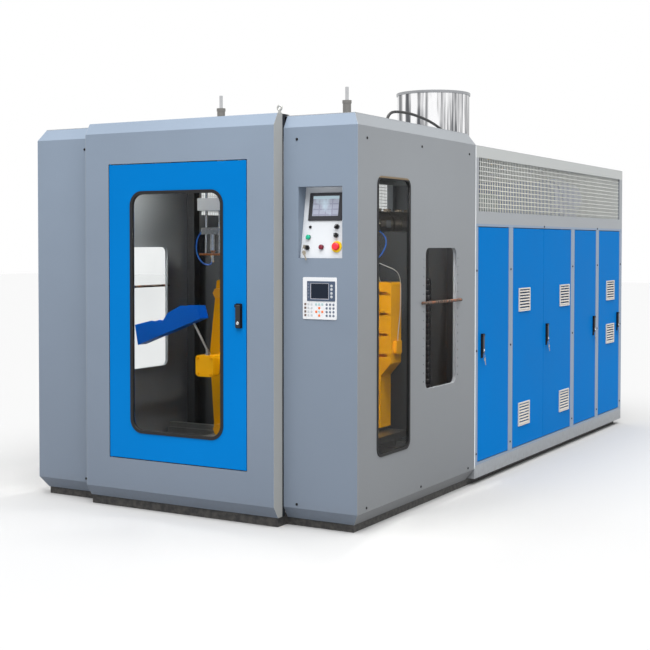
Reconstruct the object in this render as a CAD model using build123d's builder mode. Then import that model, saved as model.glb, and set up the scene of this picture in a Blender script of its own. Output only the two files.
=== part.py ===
# Extrusion blow moulding machine with two shuttling clamps in one guarded housing.
# The front block holds the clamps and blow pins, the long cabinet behind it holds the
# extruder and the hydraulic unit. Millimetres, +Z up, the operator's side faces -Y,
# and the origin is the centre of the footprint at floor level.
from build123d import *
import math
import os

os.makedirs("parts", exist_ok=True)

# Clearances shared by everything that fits or moves
pivot_clearance = 0.05
running_gap = 0.5
seat_clearance = 0.3
door_gap = 5
panel_gap = 4

# Carriage and its rails
deck_bottom_z = 300
deck_thickness = 40
guide_x = 100
guide_width = 30
guide_height = 25
shoe_height = 45
shoe_width = 90
shoe_length = 120
rail_width = 40
rail_height = 30
rail_front_back = -350
rail_rear_back = 290
beam_width = 80
beam_height = 100

# Clamps
station_pitch = 455
parting_back = 914
half_daylight = 243
platen_width = 440
front_platen_width = 400
rear_platen_thickness = 137
front_platen_thickness = 64
end_plate_gap = 82
end_plate_thickness = 80
platen_rise = 885
platen_body = 529
tie_bar_radius = 20
tie_bar_x = 68
tie_bar_drop = 55
tie_bar_lift = 40
nut_radius = 31
nut_height = 45
hub_drop = 400
hub_radius = 58
hub_length = 269
hub_wall = 12
hub_flange_width = 120
hub_flange_length = 57
rod_radius = 30
clamp_stroke = 100
t_slot_neck = 18
t_slot_throat = 32
t_slot_depth = 30
t_slot_pitch = 126
t_slot_drop = 66
t_slot_end = 25

# Blow pins
blow_back = 91
blow_stroke = 120
blow_tube_radius = 25
blow_tube_length = 571
blow_rod_radius = 11
blow_rod_reach = 80
bracket_lift = 107
bracket_height = 77
guide_rod_radius = 8
guide_rod_x = 51
holder_height = 43
stripper_width = 163
stripper_thickness = 12
stripper_lift = 44
pin_radius = 10
pin_length = 175
pin_lift = 115

# Extruder
die_lift = 80
die_height = 290
barrel_radius = 95
feed_block = 220
heater_bands = 6
screw_radius = 34
screw_clearance = 0.5
die_radius = 62
hopper_radius = 274
hopper_from_back = 1390
hopper_rise = 545
hopper_cone_rise = 26
throat_radius = 60
throat_lift = 170
hopper_wall = 2
hopper_gap = 12
motor_x = 620
motor_lift = 230
motor_radius = 150
motor_length = 470
belt_x = 120
belt_gap = 120
guard_depth = 130
gearbox_length = 430
tank_length = 740
tank_height = 660

# Housing
sheet = 3
headroom = 530
block_tail = 221
cabinet_step = 66
surround_stile = 171
surround_step = 90
surround_rise = 8
surround_lift = 9
flank_width = 438
roof_overlap = 63
floor_gap = 40
top_fold_rise = 63
top_fold_in = 37
bottom_fold_rise = 62
bottom_fold_in = 40
foot_lip = 25
head_lip = 45
cheek_return = 20
bulkhead_side = 60
bulkhead_opening_height = 470
bulkhead_drop = 60

# Base and posts
sill_in = 45
sill_width = 80
post_in = 70
post_width = 60

# Operator's door in the surround
door_width = 914
door_bottom_z = 289
door_top_drop = 240
door_depth = 30
door_sheet = 2
door_pivot_in = 6
pivot_radius = 4
jamb_depth = 38
window_stile = 146
window_rail_low = 144
window_rail_top = 148
window_radius = 80
gasket_face = 18
gasket_lap = 6
gasket_proud = 4
gasket_depth = 14
pane_thickness = 5
pane_grip = 5
handle_in = 44
handle_z = 1102

# Openings in the side walls, measured back from the front face
side_window_y = 214
side_window_width = 392
side_window_bottom_z = 362
side_window_top_drop = 314
side_window_radius = 50
side_gasket_face = 14
outlet_lead = 107
outlet_width = 423
outlet_bottom_z = 663
outlet_height = 796
outlet_radius = 40
outlet_rim = 20
peg_hole_radius = 5.5
peg_hole_count = 15
peg_hole_pitch = 49.3
peg_hole_drop = 62
peg_hole_offset = 24
guard_bar_radius = 8
guard_bar_reach = 32
guard_bar_stand = 0.5
right_bar_row = 5
left_bar_row = 4

# Operator station in the right flank
pocket_width = 266
pocket_height = 375
pocket_drop = 371
pocket_depth = 100
console_bottom_in = 21
console_top_in = 80
console_thickness = 3
screen_width = 200
screen_height = 146
screen_proud = 7
screen_depth = 10
screen_rise = 268
controller_width = 200
controller_height = 216
controller_drop = 95
controller_thickness = 4
collar_height = 4
stem_radius = 8
stem_length = 24

# Cabinet side, measured back along the cabinet
frame_depth = 60
frame_seam = 0.3
cabinet_door_bottom_z = 140
lintel_height = 98
header_height = 71
front_post = 50
rear_post = 70
door_1 = 502
door_2 = 577
door_3 = 506
door_4 = 541
post = 84
wide_post = 90
leaf_gap = 4
leaf_depth = 22
mesh_height = 330
mesh_pitch = 28
mesh_wire = 4
mesh_inset = 6
vent_width = 205
vent_height = 155
vent_proud = 8
vent_border = 9
vent_slats = 7
vent_low = 208
vent_mid = 626
vent_high = 972
vent_in_2a = 199
vent_in_2b = 144
vent_in_4 = 290
lock_width = 30
lock_height = 150
lock_proud = 5
lever_width = 22
door_lock_width = 40
door_lever_width = 29
hinge_depth = 12
lever_length = 123
lever_thickness = 12
lever_pin_radius = 3
cabinet_handle_z = 865
handle_edge = 55

# Heights, from the floor up through the carriage, the clamps and the extruder to the roof
deck_top_z = deck_bottom_z + deck_thickness
guide_top_z = deck_top_z + guide_height
rail_top_z = deck_bottom_z - shoe_height + rail_height
platen_top_z = guide_top_z + platen_rise
platen_bottom_z = platen_top_z - platen_body
tie_bar_top_z = platen_top_z - tie_bar_drop
tie_bar_bottom_z = guide_top_z + tie_bar_lift
hub_z = tie_bar_top_z - hub_drop
pin_tip_z = platen_top_z + pin_lift
stripper_z = pin_tip_z + stripper_lift
holder_bottom_z = pin_tip_z + pin_length
bracket_bottom_z = holder_bottom_z + holder_height + bracket_lift
blow_tube_top_z = bracket_bottom_z + bracket_height + blow_tube_length
blow_rod_top_z = blow_tube_top_z + blow_rod_reach
die_bottom_z = platen_top_z + die_lift
extruder_z = die_bottom_z + die_height
throat_z = extruder_z + throat_lift
motor_z = extruder_z + motor_lift
block_height = extruder_z + headroom
head_z = block_height - sheet
crown_z = block_height + surround_rise
cabinet_height = block_height - cabinet_step
mesh_bottom_z = cabinet_height - header_height - mesh_height
cabinet_door_height = mesh_bottom_z - lintel_height - cabinet_door_bottom_z
hopper_cone_z = cabinet_height + hopper_cone_rise
hopper_top_z = cabinet_height + hopper_rise
door_height = crown_z - door_top_drop - door_bottom_z
pocket_bottom_z = block_height - pocket_drop - pocket_height

# Widths, from the operator's door outwards
surround_width = door_width + 2 * surround_stile
surround_x = surround_width / 2
flank_x = surround_x + panel_gap
side_x = flank_x + flank_width
block_width = 2 * side_x
post_x = side_x - post_in - post_width / 2
pocket_x = (flank_x + side_x) / 2

# Depths, from the face of the surround back to the end of the cabinet
block_depth = parting_back + half_daylight + rear_platen_thickness + block_tail
bay_edges = [
    front_post,
    front_post + door_1,
    front_post + door_1 + post,
    front_post + door_1 + post + 2 * door_2 + leaf_gap,
]
bay_edges = bay_edges + [bay_edges[3] + wide_post, bay_edges[3] + wide_post + door_3]
bay_edges = bay_edges + [bay_edges[5] + post, bay_edges[5] + post + door_4]
cabinet_length = bay_edges[7] + rear_post
front_y = -(surround_step + block_depth + cabinet_length) / 2 + surround_step
surround_y = front_y - surround_step
block_back_y = front_y + block_depth
cabinet_back_y = block_back_y + cabinet_length
parting_y = front_y + parting_back
rear_platen_y = parting_y + half_daylight
front_platen_y = parting_y - half_daylight
end_plate_y = front_platen_y - front_platen_thickness - end_plate_gap
hopper_y = cabinet_back_y - hopper_from_back
gearbox_y = hopper_y + feed_block / 2
motor_y = gearbox_y + gearbox_length + belt_gap + guard_depth


def folded_wall(plane, length):
    """Wall sheet in depth and height: foot lip, sloping fold, flat face, fold and head lip."""
    with BuildPart() as wall:
        with BuildSketch(plane):
            with BuildLine():
                Polyline(
                    (bottom_fold_in + foot_lip, floor_gap),
                    (bottom_fold_in, floor_gap),
                    (0, floor_gap + bottom_fold_rise),
                    (0, head_z - top_fold_rise),
                    (top_fold_in, head_z),
                    (top_fold_in + head_lip, head_z),
                )
                offset(amount=sheet, side=Side.RIGHT, kind=Kind.INTERSECTION)
            make_face()
        extrude(amount=length)
    return wall


def wall_plane(x, y, inward):
    """Plane whose local x runs inward from a wall's face and whose local y runs up."""
    across = Vector(*inward, 0)
    return Plane(origin=(x, y, 0), x_dir=across, z_dir=across.cross(Vector(0, 0, 1)))


def save(builder, name):
    """Label one finished piece and write it out."""
    builder.part.label = name
    export_step(builder.part, f"parts/{name}.step")


# Base: two long sills with cross members between them, a raised step that carries the surround,
# and four posts under a head frame with a bar for the blow units. Each tube is cut to length,
# and a weld seam's width stays between two that meet.
head_frame_z = head_z - sheet - post_width
hanger_y = parting_y + blow_back + 60 + post_width
sill_x = side_x - sill_in
base_front_y = front_y + sill_in
base_back_y = cabinet_back_y - sill_in
cross_length = 2 * (sill_x - sill_width - frame_seam)
rail_length = 2 * post_x - post_width - 2 * frame_seam
cross_y = [
    base_front_y + sill_width / 2,
    block_back_y,
    block_back_y + tank_length,
    gearbox_y + gearbox_length / 2,
    motor_y + motor_length / 2,
    base_back_y - sill_width / 2,
]
with BuildPart() as base_frame:
    with BuildSketch():
        for side in (-1, 1):
            with Locations((side * (sill_x - sill_width / 2), (base_front_y + base_back_y) / 2)):
                Rectangle(sill_width, base_back_y - base_front_y)
        with Locations(*[(0, y) for y in cross_y]):
            Rectangle(cross_length, sill_width)
    extrude(amount=floor_gap)
    with BuildSketch():
        with Locations((0, (surround_y + sill_in + base_front_y - frame_seam) / 2)):
            Rectangle(
                surround_width - 2 * panel_gap,
                base_front_y - frame_seam - surround_y - sill_in,
            )
    extrude(amount=floor_gap + surround_lift)
    with BuildSketch(Plane.XY.offset(floor_gap + frame_seam)):
        for y in (front_y + post_in + post_width, block_back_y - post_in - post_width / 2):
            with Locations((-post_x, y), (post_x, y)):
                Rectangle(post_width, post_width)
    extrude(amount=head_frame_z - floor_gap - 2 * frame_seam)
    with BuildSketch(Plane.XY.offset(head_frame_z)):
        with Locations((-post_x, (front_y + block_back_y) / 2), (post_x, (front_y + block_back_y) / 2)):
            Rectangle(post_width, block_depth - 2 * post_in)
        for y in (
            front_y + post_in + post_width / 2,
            hanger_y,
            block_back_y - post_in - post_width / 2,
        ):
            with Locations((0, y)):
                Rectangle(rail_length, post_width)
    extrude(amount=post_width)
save(base_frame, "base_frame")

# Flank panels either side of the surround, mitred into the side panels
pocket_z = pocket_bottom_z + pocket_height / 2
with BuildPart() as front_right_panel:
    add(folded_wall(wall_plane(flank_x, front_y, (0, 1)), side_x - flank_x).part)
    split(bisect_by=Plane(origin=(side_x, front_y, 0), z_dir=(1, 1, 0)), keep=Keep.BOTTOM)
    with BuildSketch(Plane.XZ.offset(-front_y)):
        with Locations((pocket_x, pocket_z)):
            Rectangle(pocket_width, pocket_height)
    extrude(amount=-pocket_depth)
    with BuildSketch(Plane.XZ.offset(-front_y)):
        with Locations((pocket_x, pocket_z)):
            Rectangle(pocket_width - 2 * sheet, pocket_height - 2 * sheet)
    extrude(amount=-(pocket_depth - sheet), mode=Mode.SUBTRACT)
save(front_right_panel, "front_right_panel")

with BuildPart() as front_left_panel:
    add(folded_wall(wall_plane(-side_x, front_y, (0, 1)), side_x - flank_x).part)
    split(bisect_by=Plane(origin=(-side_x, front_y, 0), z_dir=(-1, 1, 0)), keep=Keep.BOTTOM)
save(front_left_panel, "front_left_panel")

# Side panels with the tall window, the outlet with its folded rim and two columns of peg holes
window_mid_y = front_y + side_window_y + side_window_width / 2
side_window_height = block_height - side_window_top_drop - side_window_bottom_z
window_mid_z = side_window_bottom_z + side_window_height / 2
outlet_mid_y = parting_y - outlet_lead + outlet_width / 2
outlet_mid_z = outlet_bottom_z + outlet_height / 2
peg_hole_top_z = outlet_bottom_z + outlet_height - peg_hole_drop
side_face = Plane(origin=(side_x, 0, 0), x_dir=(0, 1, 0), z_dir=(1, 0, 0))
with BuildPart() as right_side_panel:
    add(folded_wall(wall_plane(side_x, front_y, (-1, 0)), block_depth).part)
    split(bisect_by=Plane(origin=(side_x, front_y, 0), z_dir=(1, 1, 0)), keep=Keep.TOP)
    split(bisect_by=Plane(origin=(side_x, block_back_y, 0), z_dir=(1, -1, 0)), keep=Keep.TOP)
    with BuildSketch(side_face):
        with Locations((outlet_mid_y, outlet_mid_z)):
            RectangleRounded(outlet_width + 2 * sheet, outlet_height + 2 * sheet, outlet_radius + sheet)
    extrude(amount=-outlet_rim)
    with BuildSketch(side_face):
        with Locations((outlet_mid_y, outlet_mid_z)):
            RectangleRounded(outlet_width, outlet_height, outlet_radius)
        with Locations((window_mid_y, window_mid_z)):
            RectangleRounded(
                side_window_width - 2 * gasket_lap,
                side_window_height - 2 * gasket_lap,
                side_window_radius - gasket_lap,
            )
        for y in (
            outlet_mid_y - outlet_width / 2 - peg_hole_offset,
            outlet_mid_y + outlet_width / 2 + peg_hole_offset,
        ):
            with Locations(*[(y, peg_hole_top_z - n * peg_hole_pitch) for n in range(peg_hole_count)]):
                Circle(peg_hole_radius)
    extrude(amount=-outlet_rim, mode=Mode.SUBTRACT)
save(right_side_panel, "right_side_panel")

with BuildPart() as left_side_panel:
    add(mirror(right_side_panel.part, about=Plane.YZ, mode=Mode.PRIVATE))
save(left_side_panel, "left_side_panel")

# Bulkhead between block and cabinet, with the opening that the extruder passes through
with BuildPart() as bulkhead:
    add(folded_wall(wall_plane(side_x, block_back_y, (0, -1)), block_width).part)
    for side in (-1, 1):
        split(
            bisect_by=Plane(origin=(side * side_x, block_back_y, 0), z_dir=(side, -1, 0)),
            keep=Keep.BOTTOM,
        )
    with BuildSketch(Plane.XZ.offset(-block_back_y)):
        with Locations((0, extruder_z - bulkhead_drop)):
            Rectangle(
                block_width - 2 * bulkhead_side,
                bulkhead_opening_height,
                align=(Align.CENTER, Align.MIN),
            )
        with Locations((0, extruder_z)):
            Rectangle(2 * barrel_radius + 60, 2 * barrel_radius + 60)
    extrude(amount=sheet, mode=Mode.SUBTRACT)
save(bulkhead, "bulkhead")

# Surround: one folded sheet standing proud of the flanks, with cheeks and a strip over the roof
strip_depth = surround_step + roof_overlap
crown_edge_z = crown_z - top_fold_rise
surround_foot_z = floor_gap + surround_lift
opening_width = door_width + 2 * door_gap
opening_height = door_height + 2 * door_gap
opening_z = door_bottom_z + door_height / 2
surround_face = Plane.XZ.offset(-surround_y)
with BuildPart() as front_surround:
    with BuildSketch(wall_plane(-surround_x, surround_y, (0, 1))):
        with BuildLine():
            Polyline(
                (bottom_fold_in + foot_lip, surround_foot_z),
                (bottom_fold_in, surround_foot_z),
                (0, surround_foot_z + bottom_fold_rise),
                (0, crown_edge_z),
                (top_fold_in, crown_z),
                (strip_depth, crown_z),
                (strip_depth, block_height),
            )
            offset(amount=sheet, side=Side.RIGHT, kind=Kind.INTERSECTION)
        make_face()
    extrude(amount=surround_width)
    with BuildSketch(wall_plane(-surround_x, surround_y, (0, 1))):
        Polygon(
            (bottom_fold_in, surround_foot_z),
            (0, surround_foot_z + bottom_fold_rise),
            (0, crown_edge_z),
            (top_fold_in, crown_z),
            (strip_depth, crown_z),
            (strip_depth, block_height),
            (surround_step + cheek_return, block_height),
            (surround_step + cheek_return, surround_foot_z),
            align=None,
        )
    extrude(amount=sheet)
    mirror(about=Plane.YZ)
    with BuildSketch(surround_face):
        with Locations((0, opening_z)):
            Rectangle(opening_width + 2 * sheet, opening_height + 2 * sheet)
    extrude(amount=-jamb_depth)
    with BuildSketch(surround_face):
        with Locations((0, opening_z)):
            Rectangle(opening_width, opening_height)
    extrude(amount=-jamb_depth, mode=Mode.SUBTRACT)
    pivot_x = -door_width / 2 + door_pivot_in
    pivot_y = surround_y + door_pivot_in
    with BuildSketch(Plane.XY.offset(door_bottom_z - door_gap - sheet)):
        with Locations((pivot_x, pivot_y)):
            Circle(pivot_radius + pivot_clearance)
    extrude(amount=opening_height + 2 * sheet, mode=Mode.SUBTRACT)
save(front_surround, "front_surround")


def gasket(face, y, z, width, height, radius, lip_width, depth, backing):
    """Rubber surround of a window: a lip over the sheet, a sleeve and a groove for the pane."""
    inner = (width - 2 * lip_width, height - 2 * lip_width, radius - lip_width)
    sleeve = 2 * (gasket_lap + seat_clearance)
    with BuildPart() as ring:
        with BuildSketch(face):
            with Locations((y, z)):
                RectangleRounded(width, height, radius)
                RectangleRounded(*inner, mode=Mode.SUBTRACT)
        extrude(amount=gasket_proud)
        with BuildSketch(face):
            with Locations((y, z)):
                RectangleRounded(width - sleeve, height - sleeve, radius - sleeve / 2)
                RectangleRounded(*inner, mode=Mode.SUBTRACT)
        extrude(amount=-depth)
        with BuildSketch(face.offset(-backing)):
            with Locations((y, z)):
                RectangleRounded(
                    inner[0] + 2 * pane_grip + 2 * seat_clearance,
                    inner[1] + 2 * pane_grip + 2 * seat_clearance,
                    inner[2] + pane_grip + seat_clearance,
                )
        extrude(amount=-(pane_thickness + seat_clearance), mode=Mode.SUBTRACT)
    return ring.part


def pane(face, y, z, width, height, radius, lip_width, backing):
    """Clear sheet held in the groove of its gasket."""
    with BuildPart() as sheet_of_glass:
        with BuildSketch(face.offset(-backing)):
            with Locations((y, z)):
                RectangleRounded(
                    width - 2 * lip_width + 2 * pane_grip,
                    height - 2 * lip_width + 2 * pane_grip,
                    radius - lip_width + pane_grip,
                )
        extrude(amount=-pane_thickness)
    return sheet_of_glass.part


# Operator's door: a folded pan turning on two pins, with its window, gasket and lock plate
pane_backing = sheet + 1
window_width = door_width - 2 * window_stile
window_height = door_height - window_rail_low - window_rail_top
window_z = door_bottom_z + window_rail_low + window_height / 2
handle_x = door_width / 2 - handle_in
lever_pin_y = surround_y - lock_proud - lever_thickness / 2
lever_pin_z = handle_z + lever_length / 2 - 8
with BuildPart() as front_door:
    with BuildSketch(surround_face):
        with Locations((0, opening_z)):
            Rectangle(door_width, door_height)
        with Locations((0, window_z)):
            RectangleRounded(
                window_width - 2 * gasket_lap,
                window_height - 2 * gasket_lap,
                window_radius - gasket_lap,
                mode=Mode.SUBTRACT,
            )
    extrude(amount=-door_depth)
    offset(amount=-door_sheet, openings=front_door.faces().sort_by(Axis.Y)[-1])
    for z in (door_bottom_z, door_bottom_z + door_height - door_depth):
        with BuildSketch(Plane.XY.offset(z)):
            with Locations((pivot_x, pivot_y)):
                Rectangle(2 * door_pivot_in, 2 * door_pivot_in)
        extrude(amount=door_depth)
    with BuildSketch(Plane.XY.offset(door_bottom_z - door_gap - sheet)):
        with Locations((pivot_x, pivot_y)):
            Circle(pivot_radius)
    extrude(amount=door_gap + sheet + door_depth)
    with BuildSketch(Plane.XY.offset(door_bottom_z + door_height - door_depth)):
        with Locations((pivot_x, pivot_y)):
            Circle(pivot_radius)
    extrude(amount=door_gap + sheet + door_depth)
    with BuildSketch(surround_face):
        with Locations((handle_x, handle_z)):
            RectangleRounded(door_lock_width, lever_length + 8, 6)
    extrude(amount=lock_proud)
    with BuildSketch(Plane.YZ.offset(handle_x - door_lock_width / 2)):
        with Locations((lever_pin_y, lever_pin_z)):
            Rectangle(lever_thickness, 16)
    extrude(amount=door_lock_width)
    with BuildSketch(Plane.YZ.offset(handle_x - door_lever_width / 2 - running_gap)):
        with Locations((surround_y - lock_proud, lever_pin_z)):
            Rectangle(lever_thickness + 1, 17, align=(Align.MAX, Align.CENTER))
    extrude(amount=door_lever_width + 2 * running_gap, mode=Mode.SUBTRACT)
    with BuildSketch(Plane.YZ.offset(handle_x - door_lock_width / 2)):
        with Locations((lever_pin_y, lever_pin_z)):
            Circle(lever_pin_radius + pivot_clearance)
    extrude(amount=door_lock_width, mode=Mode.SUBTRACT)
save(front_door, "front_door")

with BuildPart() as door_gasket:
    add(gasket(surround_face, 0, window_z, window_width, window_height, window_radius,
               gasket_face, gasket_depth, pane_backing))
save(door_gasket, "door_gasket")
with BuildPart() as door_pane:
    add(pane(surround_face, 0, window_z, window_width, window_height, window_radius,
             gasket_face, pane_backing))
save(door_pane, "door_pane")

# Windows in both side walls
with BuildPart() as side_gaskets:
    add(gasket(side_face, window_mid_y, window_mid_z, side_window_width, side_window_height,
               side_window_radius, side_gasket_face, gasket_depth, pane_backing))
    mirror(about=Plane.YZ)
save(side_gaskets, "side_gaskets")
with BuildPart() as side_panes:
    add(pane(side_face, window_mid_y, window_mid_z, side_window_width, side_window_height,
             side_window_radius, side_gasket_face, pane_backing))
    mirror(about=Plane.YZ)
save(side_panes, "side_panes")

# Loose bars across the outlets, their pegs pushed into opposite peg holes
bar_x = side_x + guard_bar_radius + guard_bar_stand
peg_y = outlet_width / 2 + peg_hole_offset
with BuildPart() as guard_bars:
    for side, row in ((1, right_bar_row), (-1, left_bar_row)):
        bar_z = peg_hole_top_z - row * peg_hole_pitch
        with BuildSketch(Plane.XZ.offset(-(outlet_mid_y - peg_y - guard_bar_reach))):
            with Locations((side * bar_x, bar_z)):
                Circle(guard_bar_radius)
        extrude(amount=-2 * (peg_y + guard_bar_reach))
        with BuildSketch(Plane.YZ.offset(side * bar_x)):
            with Locations((outlet_mid_y - peg_y, bar_z), (outlet_mid_y + peg_y, bar_z)):
                Circle(peg_hole_radius - seat_clearance)
        extrude(amount=-side * (guard_bar_radius + guard_bar_stand + 6 * sheet))
save(guard_bars, "guard_bars")

# Roof plate on the head lips, with the holes for the blow cylinders and the hose gland
hose_x = 570
hose_radius = 9
gland_radius = 14
gland_height = 10
cabinet_gland_height = 6
block_gland_y = block_back_y - 220
cabinet_gland_y = block_back_y + 720
blow_x = station_pitch
blow_y = parting_y + blow_back
with BuildPart() as block_roof:
    with BuildSketch(Plane.XY.offset(head_z)):
        with Locations((0, (front_y + block_back_y) / 2)):
            Rectangle(block_width - 2 * top_fold_in, block_depth - 2 * top_fold_in)
        with Locations((-blow_x, blow_y), (blow_x, blow_y)):
            Circle(blow_tube_radius + 2, mode=Mode.SUBTRACT)
    extrude(amount=sheet)
    with BuildSketch(Plane.XY.offset(block_height)):
        with Locations((hose_x, block_gland_y)):
            RegularPolygon(gland_radius, 6)
    extrude(amount=gland_height)
save(block_roof, "block_roof")

# Lifting eye and the hose gland beside it on the crown of the surround
eye_x = surround_x - 24
eye_y = surround_y + 95
eye_radius = 17
eye_bar = 5
with BuildPart() as lifting_eye:
    with BuildSketch(Plane.XY.offset(crown_z)):
        with Locations((eye_x, eye_y)):
            Circle(13)
    extrude(amount=6)
    with BuildSketch(Plane.XY.offset(crown_z + 6)):
        with Locations((eye_x, eye_y)):
            Circle(8)
    extrude(amount=14)
    with BuildLine(Plane.XZ.offset(-eye_y)):
        CenterArc((eye_x, crown_z + 20 + eye_radius - eye_bar), eye_radius - eye_bar, 0, 360)
    with BuildSketch(Plane.XY.offset(crown_z + 20 + eye_radius - eye_bar)):
        with Locations((eye_x + eye_radius - eye_bar, eye_y)):
            Circle(eye_bar)
    sweep()
save(lifting_eye, "lifting_eye")

# Sloping console plate at the back of the pocket, with a collar round each control
console_height = pocket_height - 2 * sheet - 2 * seat_clearance
console_slope = math.asin((console_top_in - console_bottom_in) / console_height)
console_heel = console_thickness * math.sin(console_slope)
console_foot_z = pocket_bottom_z + sheet + seat_clearance + console_heel
console_face = Plane(
    origin=(pocket_x, front_y + console_bottom_in, console_foot_z),
    x_dir=(1, 0, 0),
    z_dir=(0, -math.cos(console_slope), math.sin(console_slope)),
)
console_length = (console_height - console_heel) / math.cos(console_slope)
start_at = (-90, 108)
key_at = (-91, 53)
stop_at = (-7, 56)
estop_at = (82, 59)
selector_lower_at = (74, 118)
selector_upper_at = (75, 163)
lamp_at = (-84, 162)
with BuildPart() as console_plate:
    with BuildSketch(console_face):
        with Locations((0, console_length / 2)):
            Rectangle(pocket_width - 2 * sheet - 2 * seat_clearance, console_length)
        with Locations((0, screen_rise)):
            Rectangle(screen_width - 16, screen_height - 16, mode=Mode.SUBTRACT)
    extrude(amount=-console_thickness)
    with BuildSketch(console_face):
        with Locations(start_at, stop_at, key_at, selector_lower_at, selector_upper_at):
            Circle(15)
        with Locations(lamp_at):
            Circle(7)
        with Locations(estop_at):
            Circle(27)
    extrude(amount=collar_height)
    with BuildSketch(console_face.offset(collar_height)):
        with Locations(start_at, stop_at, key_at, selector_lower_at, selector_upper_at, estop_at):
            Circle(stem_radius + pivot_clearance)
    extrude(amount=-collar_height - console_thickness, mode=Mode.SUBTRACT)
save(console_plate, "console_plate")

with BuildPart() as touch_screen:
    with BuildSketch(console_face):
        with Locations((0, screen_rise)):
            RectangleRounded(screen_width, screen_height, 5)
    extrude(amount=screen_proud)
    chamfer(touch_screen.faces().sort_by(SortBy.AREA)[-2:].sort_by(Axis.Y)[0].edges(), 2)
    with BuildSketch(console_face.offset(screen_proud)):
        with Locations((0, screen_rise + 4)):
            Rectangle(screen_width - 44, screen_height - 40)
    extrude(amount=-1.5, mode=Mode.SUBTRACT)
    with BuildSketch(console_face):
        with Locations((0, screen_rise)):
            Rectangle(screen_width - 17, screen_height - 17)
    extrude(amount=-screen_depth)
save(touch_screen, "touch_screen")


def on_stem(at, radius, height, tip_radius, tip_height):
    """Round control: a stem through the console's collar and a stepped head standing off it."""
    with BuildPart() as control:
        with BuildSketch(console_face.offset(collar_height + 5)):
            with Locations(at):
                Circle(radius)
        extrude(amount=height)
        with BuildSketch(console_face.offset(collar_height + 5 + height)):
            with Locations(at):
                Circle(tip_radius)
        extrude(amount=tip_height)
        with BuildSketch(console_face.offset(collar_height + 5)):
            with Locations(at):
                Circle(stem_radius)
        extrude(amount=-stem_length)
    return control.part


def on_selector(at, turn):
    """Selector: a round skirt with a raised finger bar, on a stem through its collar."""
    with BuildPart() as control:
        with BuildSketch(console_face.offset(collar_height + seat_clearance)):
            with Locations(at):
                Circle(13)
        extrude(amount=5)
        with BuildSketch(console_face.offset(collar_height + seat_clearance + 5)):
            with Locations(Location((at[0], at[1], 0), (0, 0, turn))):
                SlotOverall(24, 9)
        extrude(amount=11)
        with BuildSketch(console_face.offset(collar_height + seat_clearance)):
            with Locations(at):
                Circle(stem_radius)
        extrude(amount=-stem_length)
    return control.part


# Controls, each in its own collar
with BuildPart() as estop_button:
    add(on_stem(estop_at, 20, 10, 18, 4))
save(estop_button, "estop_button")
with BuildPart() as start_button:
    add(on_stem(start_at, 13, 2, 11, 2))
save(start_button, "start_button")
with BuildPart() as stop_button:
    add(on_stem(stop_at, 13, 3, 11, 2))
save(stop_button, "stop_button")
with BuildPart() as key_switch:
    add(on_selector(key_at, 90))
save(key_switch, "key_switch")
with BuildPart() as selector_upper:
    add(on_selector(selector_upper_at, 60))
save(selector_upper, "selector_upper")
with BuildPart() as selector_lower:
    add(on_selector(selector_lower_at, 120))
save(selector_lower, "selector_lower")

# Second operator panel below the pocket: a plate with a raised frame round its display
controller_z = pocket_bottom_z - controller_drop - controller_height / 2
flank_face = Plane.XZ.offset(-front_y)
with BuildPart() as controller:
    with BuildSketch(flank_face):
        with Locations((pocket_x, controller_z)):
            RectangleRounded(controller_width, controller_height, 6)
    extrude(amount=controller_thickness)
    with BuildSketch(flank_face.offset(controller_thickness)):
        with Locations((pocket_x + 9, controller_z + 37)):
            RectangleRounded(controller_width - 34, 103, 4)
        with Locations((pocket_x, controller_z + 37)):
            Rectangle(controller_width - 89, 84, mode=Mode.SUBTRACT)
    extrude(amount=2)
save(controller, "controller")

# Cabinet frame: sills, lintels and headers run the full length, posts stand between them
cabinet_sill_z = cabinet_door_bottom_z - door_gap
lintel_z = cabinet_door_bottom_z + cabinet_door_height + door_gap
header_z = mesh_bottom_z + mesh_height
cabinet_top_z = cabinet_height - sheet
post_spans = [
    (0, bay_edges[0] - door_gap),
    (bay_edges[1] + door_gap, bay_edges[2] - door_gap),
    (bay_edges[3] + door_gap, bay_edges[4] - door_gap),
    (bay_edges[5] + door_gap, bay_edges[6] - door_gap),
    (bay_edges[7] + door_gap, cabinet_length),
]
mesh_end = 55
with BuildPart() as cabinet_frame:
    with BuildSketch(side_face):
        for bottom, top in (
            (floor_gap, cabinet_sill_z),
            (lintel_z, mesh_bottom_z),
            (header_z, cabinet_top_z),
        ):
            with Locations((block_back_y + cabinet_length / 2, (bottom + top) / 2)):
                Rectangle(cabinet_length, top - bottom)
        for start, end in post_spans:
            with Locations(
                (block_back_y + (start + end) / 2, (cabinet_sill_z + lintel_z) / 2),
            ):
                Rectangle(end - start, lintel_z - cabinet_sill_z - 2 * frame_seam)
        for start, end in ((0, mesh_end), (cabinet_length - rear_post, cabinet_length)):
            with Locations((block_back_y + (start + end) / 2, mesh_bottom_z + mesh_height / 2)):
                Rectangle(end - start, mesh_height - 2 * frame_seam)
    extrude(amount=-frame_depth)
    mirror(about=Plane.YZ)
    with BuildSketch(Plane.XY.offset(cabinet_sill_z - hinge_depth - running_gap)):
        for back in (
            bay_edges[1] - door_pivot_in,
            bay_edges[2] + door_pivot_in,
            bay_edges[3] - door_pivot_in,
            bay_edges[4] + door_pivot_in,
            bay_edges[6] + door_pivot_in,
        ):
            with Locations((side_x - door_pivot_in, block_back_y + back)):
                Circle(pivot_radius + pivot_clearance)
    extrude(
        amount=lintel_z - cabinet_sill_z + 2 * (hinge_depth + running_gap),
        mode=Mode.SUBTRACT,
    )
    with BuildSketch(Plane.XZ.offset(-(cabinet_back_y - frame_depth))):
        for z in (floor_gap + 60, cabinet_top_z - 35):
            with Locations((0, z)):
                Rectangle(block_width - 2 * frame_depth - 2 * frame_seam, 70)
    extrude(amount=-frame_depth)
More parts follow.
